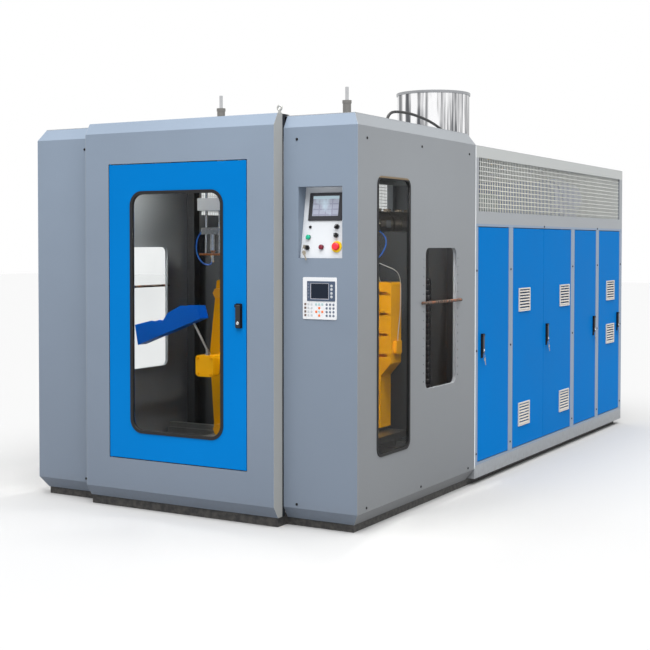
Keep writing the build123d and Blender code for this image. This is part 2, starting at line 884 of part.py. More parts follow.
save(cabinet_frame, "cabinet_frame")

# Mesh bands: square bars in two layers held between lintel and header
mesh_x = side_x - mesh_inset
mesh_start_y = block_back_y + mesh_end
mesh_stop_y = cabinet_back_y - rear_post
for side, name in ((1, "mesh_right"), (-1, "mesh_left")):
    uprights = int((mesh_stop_y - mesh_start_y) / mesh_pitch) - 1
    rows = int(mesh_height / mesh_pitch)
    mesh_mid = ((mesh_start_y + mesh_stop_y) / 2, mesh_bottom_z + mesh_height / 2)
    with BuildPart() as mesh:
        with BuildSketch(Plane.YZ.offset(side * mesh_x)):
            with Locations(mesh_mid):
                with GridLocations(mesh_pitch, 0, uprights, 1):
                    Rectangle(mesh_wire, mesh_height)
        extrude(amount=-side * mesh_wire)
        with BuildSketch(Plane.YZ.offset(side * (mesh_x - mesh_wire - seat_clearance))):
            with Locations(mesh_mid):
                with GridLocations(0, mesh_pitch, 1, rows):
                    Rectangle(mesh_stop_y - mesh_start_y, mesh_wire)
        extrude(amount=-side * mesh_wire)
    save(mesh, name)

# Plain panels that close the left side, the back and the top, open round the hopper
with BuildPart() as cabinet_panels:
    with BuildSketch(Plane.YZ.offset(-side_x)):
        for first, last in ((0, 1), (2, 3), (4, 5), (6, 7)):
            low = block_back_y + bay_edges[first] - door_gap + seat_clearance
            high = block_back_y + bay_edges[last] + door_gap - seat_clearance
            with Locations(((low + high) / 2, (cabinet_sill_z + lintel_z) / 2)):
                Rectangle(high - low, lintel_z - cabinet_sill_z - 2 * seat_clearance)
    extrude(amount=sheet)
    with BuildSketch(Plane.XZ.offset(-cabinet_back_y)):
        for side in (-1, 1):
            with Locations((side * block_width / 4, (floor_gap + cabinet_top_z) / 2)):
                Rectangle(block_width / 2 - seat_clearance, cabinet_top_z - floor_gap)
    extrude(amount=-sheet)
    with BuildSketch(Plane.XY.offset(cabinet_top_z)):
        with Locations((0, block_back_y + cabinet_length / 2)):
            Rectangle(block_width, cabinet_length)
        with Locations((0, hopper_y)):
            Circle(hopper_radius + hopper_gap, mode=Mode.SUBTRACT)
    extrude(amount=sheet)
    with BuildSketch(Plane.XY.offset(cabinet_height)):
        with Locations((0, hopper_y)):
            Circle(hopper_radius + hopper_gap + sheet)
            Circle(hopper_radius + hopper_gap, mode=Mode.SUBTRACT)
    extrude(amount=30)
    with BuildSketch(Plane.XY.offset(cabinet_height)):
        with Locations((hose_x, cabinet_gland_y)):
            RegularPolygon(gland_radius, 6)
    extrude(amount=cabinet_gland_height)
save(cabinet_panels, "cabinet_panels")

def cabinet_door(start, width, hinge_at_start, vents, handle_at_start):
    """Folded leaf with pins at its hinge edge, louvred vents and, if it locks, a lock plate."""
    low = block_back_y + start
    mid_z = cabinet_door_bottom_z + cabinet_door_height / 2
    top_z = cabinet_door_bottom_z + cabinet_door_height
    pin_y = low + door_pivot_in if hinge_at_start else low + width - door_pivot_in
    pin_x = side_x - door_pivot_in
    with BuildPart() as leaf:
        with BuildSketch(side_face):
            with Locations((low + width / 2, mid_z)):
                Rectangle(width, cabinet_door_height)
        extrude(amount=-leaf_depth)
        offset(amount=-door_sheet, openings=leaf.faces().sort_by(Axis.X)[0])
        for along, up in vents:
            at = (low + along, cabinet_door_bottom_z + up)
            with BuildSketch(side_face.offset(-door_sheet)):
                with Locations(at):
                    Rectangle(vent_width, vent_height)
                    Rectangle(
                        vent_width - 2 * vent_border,
                        vent_height - 2 * vent_border,
                        mode=Mode.SUBTRACT,
                    )
            extrude(amount=door_sheet + vent_proud)
            with BuildSketch(side_face):
                with Locations(at):
                    Rectangle(vent_width - 2 * vent_border, vent_height - 2 * vent_border)
            extrude(amount=-door_sheet, mode=Mode.SUBTRACT)
            slat_pitch = (vent_height - 2 * vent_border) / vent_slats
            with BuildSketch(Plane.XZ.offset(-(at[0] - vent_width / 2 + vent_border))):
                for n in range(vent_slats):
                    foot_z = at[1] - vent_height / 2 + vent_border + n * slat_pitch
                    with Locations((side_x, foot_z)):
                        Polygon(
                            (-door_sheet, slat_pitch * 0.75),
                            (-door_sheet, slat_pitch * 0.55),
                            (vent_proud - 1, slat_pitch * 0.1),
                            (vent_proud - 1, slat_pitch * 0.3),
                            align=None,
                        )
            extrude(amount=-(vent_width - 2 * vent_border))
        for z in (cabinet_door_bottom_z, top_z - leaf_depth):
            with BuildSketch(Plane.XY.offset(z)):
                with Locations((pin_x, pin_y)):
                    Rectangle(2 * door_pivot_in, 2 * door_pivot_in)
            extrude(amount=leaf_depth)
        with BuildSketch(Plane.XY.offset(cabinet_door_bottom_z - door_gap - hinge_depth)):
            with Locations((pin_x, pin_y)):
                Circle(pivot_radius)
        extrude(amount=door_gap + hinge_depth + 1)
        with BuildSketch(Plane.XY.offset(top_z - 1)):
            with Locations((pin_x, pin_y)):
                Circle(pivot_radius)
        extrude(amount=door_gap + hinge_depth + 1)
        if handle_at_start is not None:
            at = (low + handle_edge if handle_at_start else low + width - handle_edge,
                  cabinet_handle_z - lock_height / 2 + lever_length / 2)
            with BuildSketch(side_face):
                with Locations(at):
                    RectangleRounded(lock_width, lock_height, 5)
            extrude(amount=lock_proud)
            ears = Plane.XZ.offset(-(at[0] - lock_width / 2))
            pivot_z = cabinet_handle_z + lever_length / 2 - 8
            with BuildSketch(ears):
                with Locations((side_x + lock_proud, pivot_z)):
                    Rectangle(lever_thickness, 16, align=(Align.MIN, Align.CENTER))
            extrude(amount=-lock_width)
            with BuildSketch(Plane.XZ.offset(-(at[0] - lever_width / 2 - running_gap))):
                with Locations((side_x + lock_proud, pivot_z)):
                    Rectangle(lever_thickness + 1, 17, align=(Align.MIN, Align.CENTER))
            extrude(amount=-(lever_width + 2 * running_gap), mode=Mode.SUBTRACT)
            with BuildSketch(ears):
                with Locations((side_x + lock_proud + lever_thickness / 2, pivot_z)):
                    Circle(lever_pin_radius + pivot_clearance)
            extrude(amount=-lock_width, mode=Mode.SUBTRACT)
    return leaf


def cabinet_lever(start, width, handle_at_start):
    """Swing handle hanging from a cross pin at its upper end."""
    low = block_back_y + start
    y = low + handle_edge if handle_at_start else low + width - handle_edge
    pivot_z = cabinet_handle_z + lever_length / 2 - 8
    with BuildPart() as lever:
        with BuildSketch(Plane.XZ.offset(-(y - lever_width / 2))):
            with BuildLine():
                Polyline(
                    (side_x + lock_proud + running_gap, pivot_z),
                    (side_x + lock_proud + running_gap, cabinet_handle_z - lever_length / 2),
                    (side_x + lock_proud + lever_thickness, cabinet_handle_z - lever_length / 2),
                    (side_x + lock_proud + lever_thickness - running_gap, pivot_z),
                )
                ThreePointArc(
                    (side_x + lock_proud + lever_thickness - running_gap, pivot_z),
                    (side_x + lock_proud + lever_thickness / 2, pivot_z + lever_thickness / 2 - running_gap),
                    (side_x + lock_proud + running_gap, pivot_z),
                )
            make_face()
        extrude(amount=-lever_width)
        with BuildSketch(Plane.XZ.offset(-(y - lock_width / 2))):
            with Locations((side_x + lock_proud + lever_thickness / 2, pivot_z)):
                Circle(lever_pin_radius)
        extrude(amount=-lock_width)
    return lever


leaf_2b = bay_edges[2] + door_2 + leaf_gap
vents_2a = ((vent_in_2a, vent_high), (vent_in_2a, vent_low))
vents_2b = ((door_2 - vent_in_2b, vent_high), (door_2 - vent_in_2b, vent_low))
vents_4 = ((vent_in_4, vent_high), (vent_in_4, vent_mid))
save(cabinet_door(bay_edges[0], door_1, False, (), True), "cabinet_door_1")
save(cabinet_door(bay_edges[2], door_2, True, vents_2a, None), "cabinet_door_2a")
save(cabinet_door(leaf_2b, door_2, False, vents_2b, True), "cabinet_door_2b")
save(cabinet_door(bay_edges[4], door_3, True, (), False), "cabinet_door_3")
save(cabinet_door(bay_edges[6], door_4, True, vents_4, False), "cabinet_door_4")
save(cabinet_lever(bay_edges[0], door_1, True), "cabinet_lever_1")
save(cabinet_lever(leaf_2b, door_2, True), "cabinet_lever_2")
save(cabinet_lever(bay_edges[4], door_3, False), "cabinet_lever_3")
save(cabinet_lever(bay_edges[6], door_4, False), "cabinet_lever_4")

# Lever of the operator's door, hanging from the same kind of cross pin
with BuildPart() as door_lever:
    with BuildSketch(Plane.YZ.offset(handle_x - door_lever_width / 2)):
        with BuildLine():
            Polyline(
                (surround_y - lock_proud - running_gap, lever_pin_z),
                (surround_y - lock_proud - running_gap, handle_z - lever_length / 2),
                (surround_y - lock_proud - lever_thickness, handle_z - lever_length / 2),
                (surround_y - lock_proud - lever_thickness + running_gap, lever_pin_z),
            )
            ThreePointArc(
                (surround_y - lock_proud - lever_thickness + running_gap, lever_pin_z),
                (lever_pin_y, lever_pin_z + lever_thickness / 2 - running_gap),
                (surround_y - lock_proud - running_gap, lever_pin_z),
            )
        make_face()
    extrude(amount=door_lever_width)
    with BuildSketch(Plane.YZ.offset(handle_x - door_lock_width / 2)):
        with Locations((lever_pin_y, lever_pin_z)):
            Circle(lever_pin_radius)
    extrude(amount=door_lock_width)
save(door_lever, "door_lever")

# Rails across the block on two beams that stand on the sills
rail_y = (parting_y + rail_front_back, parting_y + rail_rear_back)
beam_end = post_x + post_width / 2
beam_top_z = rail_top_z - rail_height
with BuildPart() as carriage_rails:
    for y in rail_y:
        with BuildSketch(Plane.YZ.offset(-beam_end)):
            with Locations((y, beam_top_z)):
                Rectangle(beam_width, beam_height, align=(Align.CENTER, Align.MAX))
                Rectangle(rail_width, rail_height, align=(Align.CENTER, Align.MIN))
        extrude(amount=2 * beam_end)
        with BuildSketch(Plane.XY.offset(floor_gap)):
            with Locations((-beam_end + 28, y), (beam_end - 28, y)):
                Rectangle(56, beam_width)
        extrude(amount=beam_top_z - beam_height - floor_gap)
save(carriage_rails, "carriage_rails")

# Carriage deck with shoes under it and a pair of guides on it for each clamp
deck_end = platen_width / 2 + 25
guide_front_y = end_plate_y - end_plate_thickness - clamp_stroke - 30
guide_back_y = rear_platen_y + rear_platen_thickness + 30
with BuildPart() as carriage:
    with BuildSketch(Plane.XY.offset(deck_bottom_z)):
        with Locations((station_pitch / 2, (guide_front_y + guide_back_y) / 2)):
            Rectangle(station_pitch + 2 * deck_end, guide_back_y - guide_front_y)
            with GridLocations(station_pitch, 0, 2, 1):
                Rectangle(2 * guide_x - 2 * guide_width, 900, mode=Mode.SUBTRACT)
    extrude(amount=deck_thickness)
    with BuildSketch(Plane.XY.offset(deck_top_z)):
        with Locations((station_pitch / 2, (guide_front_y + guide_back_y) / 2)):
            with GridLocations(station_pitch, 0, 2, 1):
                with GridLocations(2 * guide_x, 0, 2, 1):
                    Rectangle(guide_width, guide_back_y - guide_front_y)
    extrude(amount=guide_height)
    for y in rail_y:
        for x in (-deck_end + shoe_length / 2, station_pitch + deck_end - shoe_length / 2):
            with BuildSketch(Plane.YZ.offset(x - shoe_length / 2)):
                with Locations((y, deck_bottom_z)):
                    Rectangle(shoe_width, shoe_height - 5, align=(Align.CENTER, Align.MAX))
                with Locations((y, rail_top_z + running_gap)):
                    Rectangle(
                        rail_width + 2 * running_gap,
                        rail_height + running_gap,
                        align=(Align.CENTER, Align.MAX),
                        mode=Mode.SUBTRACT,
                    )
            extrude(amount=shoe_length)
save(carriage, "carriage")

# Delivery chute on the carriage: two cut side sheets, a bent floor and a stay
chute_outline = [
    (-537, 1091), (-668, 1088), (-768, 1039), (-818, 975), (-895, 987), (-1032, 955),
    (-1008, 825), (-512, 1011),
]
chute_front_y = parting_y - 59
chute_width = 90
stay_x = -596
stay_foot_x = -205
stay_radius = 7
with BuildPart() as tray:
    with BuildSketch(Plane.XZ.offset(-chute_front_y)):
        Polygon(*chute_outline, align=None)
    extrude(amount=-sheet)
    with BuildSketch(Plane.XZ.offset(-(chute_front_y + chute_width - sheet))):
        Polygon(*chute_outline, align=None)
    extrude(amount=-sheet)
    with BuildSketch(Plane.XZ.offset(-chute_front_y)):
        Polygon(
            chute_outline[6],
            chute_outline[7],
            (chute_outline[7][0], chute_outline[7][1] + sheet),
            (chute_outline[6][0], chute_outline[6][1] + sheet),
            align=None,
        )
    extrude(amount=-chute_width)
    floor_rise = (chute_outline[7][1] - chute_outline[6][1]) / (chute_outline[7][0] - chute_outline[6][0])
    stay_top_z = chute_outline[6][1] + (stay_x - chute_outline[6][0]) * floor_rise
    stay_y = chute_front_y + chute_width / 2
    with BuildSketch(Plane.XY.offset(deck_top_z)):
        with Locations((stay_foot_x, stay_y)):
            Rectangle(50, 60)
    extrude(amount=8)
    stay_run = Vector(stay_x - stay_foot_x, 0, stay_top_z - deck_top_z)
    with BuildSketch(Plane(origin=(stay_foot_x, stay_y, deck_top_z + 4), z_dir=stay_run)):
        Circle(stay_radius)
    extrude(amount=stay_run.length - 2)
save(tray, "tray")


def tie_bar_holes(width_clearance):
    """Four holes for the tie bars in the current sketch."""
    for z in (tie_bar_bottom_z, tie_bar_top_z):
        for x in (-tie_bar_x, tie_bar_x):
            with Locations((x, z)):
                Circle(tie_bar_radius + width_clearance, mode=Mode.SUBTRACT)


def platen_outline(width):
    """Front view of a platen: a broad body over two legs that end in feet on the guides."""
    half = width / 2
    leg = guide_x + guide_width + 20
    leg_gap_z = guide_top_z + 75
    with BuildSketch() as outline:
        with BuildLine():
            Polyline(
                (-half, platen_bottom_z + 40),
                (-half, platen_top_z),
                (half, platen_top_z),
                (half, platen_bottom_z + 40),
                (leg, platen_bottom_z - 40),
                (leg, guide_top_z + running_gap),
                (-leg, guide_top_z + running_gap),
                (-leg, platen_bottom_z - 40),
                close=True,
            )
        make_face()
        fillet(outline.vertices().group_by(Axis.Y)[-1], 12)
        with Locations((0, (platen_bottom_z - 60 + leg_gap_z) / 2)):
            RectangleRounded(2 * (guide_x - 15), platen_bottom_z - 60 - leg_gap_z, 30, mode=Mode.SUBTRACT)
    return outline.sketch


def clamp(name, x):
    """One clamp at a station: rear platen, end plate and tie bars, and the front platen."""
    back = Plane(origin=(x, rear_platen_y, 0), x_dir=(1, 0, 0), z_dir=(0, -1, 0))
    outer = 1 if x > 0 else -1
    with BuildPart() as rear_platen:
        with BuildSketch(back):
            add(platen_outline(platen_width))
            tie_bar_holes(seat_clearance)
        extrude(amount=-rear_platen_thickness)
        with BuildSketch(Plane.YZ.offset(x - platen_width / 2 + t_slot_end)):
            for n in range(4):
                with Locations((rear_platen_y, platen_top_z - t_slot_drop - n * t_slot_pitch)):
                    Rectangle(t_slot_depth, t_slot_neck, align=(Align.MIN, Align.CENTER))
                with Locations((rear_platen_y + t_slot_depth / 2, platen_top_z - t_slot_drop - n * t_slot_pitch)):
                    Rectangle(t_slot_depth / 2, t_slot_throat, align=(Align.MIN, Align.CENTER))
        extrude(amount=platen_width - 2 * t_slot_end, mode=Mode.SUBTRACT)
        with BuildSketch(Plane.YZ.offset(x + outer * platen_width / 2)):
            with Locations((rear_platen_y + rear_platen_thickness / 2, hub_z + hub_radius + 3)):
                RectangleRounded(70, 80, 8)
        extrude(amount=outer * 22)
    save(rear_platen, f"rear_platen_{name}")

    with BuildPart() as front_platen:
        face = back.offset(2 * half_daylight)
        with BuildSketch(face):
            add(platen_outline(front_platen_width))
            tie_bar_holes(seat_clearance)
        extrude(amount=front_platen_thickness)
        with BuildSketch(Plane.YZ.offset(x - front_platen_width / 2 + t_slot_end)):
            for n in range(4):
                with Locations((front_platen_y, platen_top_z - t_slot_drop - n * t_slot_pitch)):
                    Rectangle(t_slot_depth, t_slot_neck, align=(Align.MAX, Align.CENTER))
                with Locations((front_platen_y - t_slot_depth / 2, platen_top_z - t_slot_drop - n * t_slot_pitch)):
                    Rectangle(t_slot_depth / 2, t_slot_throat, align=(Align.MAX, Align.CENTER))
        extrude(amount=front_platen_width - 2 * t_slot_end, mode=Mode.SUBTRACT)
        with BuildSketch(face.offset(front_platen_thickness)):
            with Locations((0, hub_z)):
                Circle(rod_radius + 16)
        extrude(amount=20)
        with BuildSketch(face.offset(front_platen_thickness + 20)):
            with Locations((0, hub_z)):
                Circle(rod_radius)
        extrude(amount=end_plate_gap - 20 + end_plate_thickness + hub_length - 30)
    save(front_platen, f"front_platen_{name}")

    front = Plane(origin=(x, end_plate_y, 0), x_dir=(1, 0, 0), z_dir=(0, -1, 0))
    with BuildPart() as end_plate:
        with BuildSketch(front) as kite:
            Polygon(
                (-101, platen_top_z + 21),
                (101, platen_top_z + 21),
                (148, hub_z + 66),
                (148, hub_z + 5),
                (122, tie_bar_bottom_z + 37),
                (122, guide_top_z + running_gap),
                (-122, guide_top_z + running_gap),
                (-122, tie_bar_bottom_z + 37),
                (-148, hub_z + 5),
                (-148, hub_z + 66),
                align=None,
            )
            fillet(kite.vertices(), 14)
            tie_bar_holes(seat_clearance)
            with Locations((0, hub_z)):
                Circle(rod_radius + seat_clearance, mode=Mode.SUBTRACT)
        extrude(amount=end_plate_thickness)
        with BuildSketch(front.offset(end_plate_thickness)):
            with Locations((0, hub_z)):
                Circle(hub_radius)
                Circle(hub_radius - hub_wall, mode=Mode.SUBTRACT)
        extrude(amount=hub_length - hub_flange_length)
        with BuildSketch(front.offset(end_plate_thickness + hub_length - hub_flange_length)):
            with Locations((0, hub_z)):
                RectangleRounded(hub_flange_width, hub_flange_width, 20)
                Circle(hub_radius - hub_wall, mode=Mode.SUBTRACT)
        extrude(amount=hub_flange_length - 12)
        with BuildSketch(front.offset(end_plate_thickness + hub_length - 12)):
            with Locations((0, hub_z)):
                RectangleRounded(hub_flange_width, hub_flange_width, 20)
        extrude(amount=12)
    save(end_plate, f"end_plate_{name}")

    bar_length = rear_platen_y + rear_platen_thickness - end_plate_y + end_plate_thickness
    with BuildPart() as tie_bars:
        with BuildSketch(back.offset(-rear_platen_thickness)):
            for z in (tie_bar_bottom_z, tie_bar_top_z):
                with Locations((-tie_bar_x, z), (tie_bar_x, z)):
                    Circle(tie_bar_radius)
        extrude(amount=bar_length)
        with BuildSketch(front.offset(end_plate_thickness)):
            for z in (tie_bar_bottom_z, tie_bar_top_z):
                with Locations((-tie_bar_x, z), (tie_bar_x, z)):
                    RegularPolygon(nut_radius, 6)
        extrude(amount=nut_height)
        with BuildSketch(back.offset(-rear_platen_thickness)):
            for z in (tie_bar_bottom_z, tie_bar_top_z):
                with Locations((-tie_bar_x, z), (tie_bar_x, z)):
                    RegularPolygon(nut_radius, 6)
        extrude(amount=-nut_height / 2)
    save(tie_bars, f"tie_bars_{name}")


clamp("left", 0)
clamp("right", station_pitch)

# Fixed part of both blow units: guide bracket hung from the head frame and the cylinder above
bracket_front_y = parting_y - 42
bracket_back_y = hanger_y + post_width / 2
with BuildPart() as blow_cylinders:
    for x in (-blow_x, blow_x):
        with BuildSketch(Plane.XY.offset(bracket_bottom_z)):
            with Locations((x, (bracket_front_y + bracket_back_y) / 2)):
                Rectangle(180, bracket_back_y - bracket_front_y)
            with Locations((x - guide_rod_x, parting_y), (x + guide_rod_x, parting_y)):
                Circle(guide_rod_radius + seat_clearance, mode=Mode.SUBTRACT)
            with Locations((x, blow_y)):
                Circle(blow_rod_radius + seat_clearance, mode=Mode.SUBTRACT)
        extrude(amount=bracket_height)
        with BuildSketch(Plane.XY.offset(bracket_bottom_z + bracket_height)):
            for offset_x in (-75, 75):
                with Locations((x + offset_x, hanger_y)):
                    Rectangle(20, post_width)
        extrude(amount=head_frame_z - bracket_bottom_z - bracket_height)
        with BuildSketch(Plane.XY.offset(bracket_bottom_z + bracket_height)):
            with Locations((x, blow_y)):
                Circle(blow_tube_radius)
                Circle(blow_rod_radius + seat_clearance, mode=Mode.SUBTRACT)
        extrude(amount=blow_tube_top_z - bracket_bottom_z - bracket_height)
        with BuildSketch(Plane.XY.offset(blow_tube_top_z - 18)):
            with Locations((x, blow_y)):
                Circle(blow_tube_radius + 3)
                Circle(blow_rod_radius + seat_clearance, mode=Mode.SUBTRACT)
        extrude(amount=18)
save(blow_cylinders, "blow_cylinders")


def blow_pin(x):
    """Moving part of a blow unit: rod, holder, two guide rods, stripper plate and hollow pin."""
    with BuildPart() as unit:
        with BuildSketch(Plane.XY.offset(holder_bottom_z)):
            with Locations((x, (parting_y - 32 + blow_y + 22) / 2)):
                RectangleRounded(142, blow_y + 54 - parting_y, 6)
        extrude(amount=holder_height)
        with BuildSketch(Plane.XY.offset(holder_bottom_z + holder_height)):
            with Locations((x, blow_y)):
                Circle(blow_rod_radius)
        extrude(amount=blow_rod_top_z - holder_bottom_z - holder_height)
        with BuildSketch(Plane.XY.offset(stripper_z)):
            with Locations((x - guide_rod_x, parting_y), (x + guide_rod_x, parting_y)):
                Circle(guide_rod_radius)
        extrude(amount=bracket_bottom_z + bracket_height + blow_stroke + 20 - stripper_z)
        with BuildSketch(Plane.XY.offset(stripper_z)):
            with Locations((x, parting_y)):
                RectangleRounded(stripper_width, 84, 10)
        extrude(amount=stripper_thickness)
        with BuildSketch(Plane.XZ.offset(-parting_y)):
            with BuildLine():
                Polyline(
                    (x, pin_tip_z),
                    (x + pin_radius - 3, pin_tip_z),
                    (x + pin_radius, pin_tip_z + 6),
                    (x + pin_radius, pin_tip_z + 60),
                    (x + pin_radius + 8, pin_tip_z + 75),
                    (x + pin_radius + 8, holder_bottom_z),
                    (x, holder_bottom_z),
                    close=True,
                )
            make_face()
        revolve(axis=Axis((x, parting_y, 0), (0, 0, 1)))
    return unit


save(blow_pin(-blow_x), "blow_pin_left")
save(blow_pin(blow_x), "blow_pin_right")

# Die head hanging under the nose of the extruder
die_block_half = 80
die_block_z = extruder_z - 60
with BuildPart() as die_head:
    with BuildSketch(Plane.XZ.offset(-parting_y)):
        with BuildLine():
            Polyline(
                (0, die_bottom_z),
                (22, die_bottom_z),
                (40, die_bottom_z + 50),
                (die_radius, die_bottom_z + 60),
                (die_radius, die_block_z - 20),
                (die_radius + 14, die_block_z - 20),
                (die_radius + 14, die_block_z),
                (0, die_block_z),
                close=True,
            )
        make_face()
    revolve(axis=Axis((0, parting_y, 0), (0, 0, 1)))
    with BuildSketch(Plane.XY.offset(die_block_z)):
        with Locations((0, parting_y)):
            Rectangle(2 * die_block_half, 2 * die_block_half)
    extrude(amount=2 * (extruder_z - die_block_z))
save(die_head, "die_head")

# Barrel with heater bands, bored for the screw, on two saddles
barrel_front_y = parting_y + die_block_half
barrel_length = hopper_y + feed_block / 2 - barrel_front_y
band_pitch = (hopper_y - 180 - barrel_front_y - 60) / heater_bands
barrel_plane = Plane.XZ.offset(-barrel_front_y)
with BuildPart() as barrel:
    with BuildSketch(barrel_plane):
        with Locations((0, extruder_z)):
            Circle(barrel_radius - 22)
            Circle(screw_radius + screw_clearance, mode=Mode.SUBTRACT)
    extrude(amount=-barrel_length)
    for n in range(heater_bands):
        with BuildSketch(Plane.XZ.offset(-(barrel_front_y + 60 + n * band_pitch))):
            with Locations((0, extruder_z)):
                Circle(barrel_radius)
                Circle(barrel_radius - 22, mode=Mode.SUBTRACT)
        extrude(amount=-(band_pitch - 30))
    with BuildSketch(Plane.XZ.offset(-(hopper_y - feed_block / 2))):
        with Locations((0, extruder_z)):
            Rectangle(240, 260)
            Circle(screw_radius + screw_clearance, mode=Mode.SUBTRACT)
    extrude(amount=-feed_block)
    with BuildSketch(Plane.XY.offset(extruder_z + feed_block / 2)):
        with Locations((0, hopper_y)):
            Circle(throat_radius)
    extrude(amount=throat_z - extruder_z - feed_block / 2)
    with BuildSketch(Plane.XY.offset(extruder_z)):
        with Locations((0, hopper_y)):
            Circle(throat_radius - 12)
    extrude(amount=throat_z - extruder_z, mode=Mode.SUBTRACT)
    with BuildSketch(Plane.XZ.offset(-block_back_y - 40)):
        with Locations((0, extruder_z)):
            Circle(barrel_radius + 18)
            Circle(barrel_radius - 22, mode=Mode.SUBTRACT)
    extrude(amount=30)
save(barrel, "barrel")

with BuildPart() as extruder_screw:
    with BuildSketch(barrel_plane.offset(-12)):
        with Locations((0, extruder_z)):
            Circle(screw_radius)
    extrude(amount=-(barrel_length + 60))
save(extruder_screw, "extruder_screw")

# Hopper: a cone with its throat, and on it a spun cylinder with a rolled rim
hopper_axis = Axis((0, hopper_y, 0), (0, 0, 1))
with BuildPart() as hopper:
    with BuildSketch(Plane.XZ.offset(-hopper_y)):
        with BuildLine():
            Polyline(
                (throat_radius + 22, throat_z),
                (throat_radius - 12, throat_z),
                (throat_radius - 12, throat_z + 40),
                (hopper_radius, hopper_cone_z),
            )
            offset(amount=hopper_wall, side=Side.RIGHT, kind=Kind.INTERSECTION)
        make_face()
    revolve(axis=hopper_axis)
    with BuildSketch(Plane.XZ.offset(-hopper_y)):
        with Locations((hopper_radius, hopper_cone_z + frame_seam)):
            Rectangle(
                hopper_wall,
                hopper_top_z - hopper_cone_z - frame_seam,
                align=(Align.MIN, Align.MIN),
            )
        with Locations((hopper_radius - 2, hopper_top_z - 4)):
            Circle(6)
    revolve(axis=hopper_axis)
save(hopper, "hopper")

# Gearbox on its stand, bored for the end of the screw
with BuildPart() as gearbox:
    with BuildSketch(Plane.XZ.offset(-gearbox_y)):
        with Locations((60, extruder_z + 45)):
            RectangleRounded(520, 430, 40)
    extrude(amount=-gearbox_length)
    with BuildSketch(Plane.XY.offset(floor_gap)):
        with Locations((60, gearbox_y + gearbox_length / 2)):
            Rectangle(420, 380)
    extrude(amount=extruder_z - 170 - floor_gap)
    with BuildSketch(Plane.XZ.offset(-gearbox_y)):
        with Locations((0, extruder_z)):
            Circle(screw_radius + screw_clearance)
    extrude(amount=-90, mode=Mode.SUBTRACT)
save(gearbox, "gearbox")

# Motor beside the gearbox, on its own pedestal, driving through a guarded belt
with BuildPart() as extruder_motor:
    with BuildSketch(Plane.XZ.offset(-(motor_y - guard_depth))):
        with Locations(((motor_x + belt_x) / 2, motor_z)):
            SlotCenterToCenter(motor_x - belt_x, 260)
    extrude(amount=-guard_depth)
    with BuildSketch(Plane.XZ.offset(-(gearbox_y + gearbox_length))):
        with Locations((belt_x, motor_z)):
            Circle(45)
    extrude(amount=-(motor_y - guard_depth - gearbox_y - gearbox_length))
    with BuildSketch(Plane.XZ.offset(-motor_y)):
        with Locations((motor_x, motor_z)):
            Circle(motor_radius)
    extrude(amount=-motor_length)
    with BuildSketch(Plane.XZ.offset(-(motor_y + motor_length * 0.12))):
        with Locations((motor_x, motor_z)):
            with PolarLocations(motor_radius, 24):
                Rectangle(24, 6)
    extrude(amount=-motor_length * 0.68)
    with BuildSketch(Plane.XY.offset(motor_z - motor_radius - 20)):
        with Locations((motor_x, motor_y + motor_length / 2)):
            Rectangle(260, 300)
    extrude(amount=60)
    with BuildSketch(Plane.XY.offset(floor_gap)):
        with Locations((motor_x, motor_y + motor_length / 2)):
            Rectangle(180, 220)
    extrude(amount=motor_z - motor_radius - 20 - floor_gap)
save(extruder_motor, "extruder_motor")

# Hydraulic unit: tank with a lid flange, pump motor and filler
tank_y = (block_back_y + 25, block_back_y + 25 + tank_length)
with BuildPart() as power_pack:
    with BuildSketch(Plane.XY.offset(floor_gap)):
        with Locations((-350, (tank_y[0] + tank_y[1]) / 2)):
            RectangleRounded(900, tank_y[1] - tank_y[0], 20)
    extrude(amount=tank_height)
    with BuildSketch(Plane.XY.offset(floor_gap + tank_height)):
        with Locations((-350, (tank_y[0] + tank_y[1]) / 2)):
            RectangleRounded(940, tank_y[1] - tank_y[0], 20)
    extrude(amount=12)
    with BuildSketch(Plane.YZ.offset(-620)):
        with Locations(((tank_y[0] + tank_y[1]) / 2, floor_gap + tank_height + 150)):
            Circle(120)
        with Locations(((tank_y[0] + tank_y[1]) / 2, floor_gap + tank_height + 40)):
            Rectangle(160, 80)
    extrude(amount=340)
    with BuildSketch(Plane.YZ.offset(-280)):
        with Locations(((tank_y[0] + tank_y[1]) / 2, floor_gap + tank_height + 150)):
            Circle(65)
    extrude(amount=170)
    with BuildSketch(Plane.XY.offset(floor_gap + tank_height + 12)):
        with Locations((20, tank_y[0] + 110)):
            Circle(40)
    extrude(amount=70)
save(power_pack, "power_pack")

# Hose over the roofs from one gland to the other
hose_points = [
    (-220, gland_height),
    (-220, 82),
    (-174, 138),
    (-80, 157),
    (140, 162),
    (400, 140),
    (580, 104),
    (674, 68),
    (720, 12),
    (720, cabinet_gland_height - cabinet_step),
]
hose_radii = []
for before, at, after in zip(hose_points, hose_points[1:], hose_points[2:]):
    arriving = Vector(*at) - Vector(*before)
    leaving = Vector(*after) - Vector(*at)
    half_turn = math.radians(arriving.get_angle(leaving)) / 2
    hose_radii.append(0.45 * min(arriving.length, leaving.length) / math.tan(half_turn))
hose_plane = Plane(origin=(hose_x, block_back_y, block_height), x_dir=(0, 1, 0), z_dir=(1, 0, 0))
with BuildPart() as roof_hose:
    with BuildLine(hose_plane):
        FilletPolyline(*hose_points, radius=hose_radii)
    with BuildSketch(Plane.XY.offset(block_height + gland_height)):
        with Locations((hose_x, block_gland_y)):
            Circle(hose_radius)
    sweep()
save(roof_hose, "roof_hose")
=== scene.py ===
# Extrusion blow moulding machine: the finishes of its CAD parts and the fine pieces on them.
# Metres, Z up, the operator's side faces -Y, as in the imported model.
import math

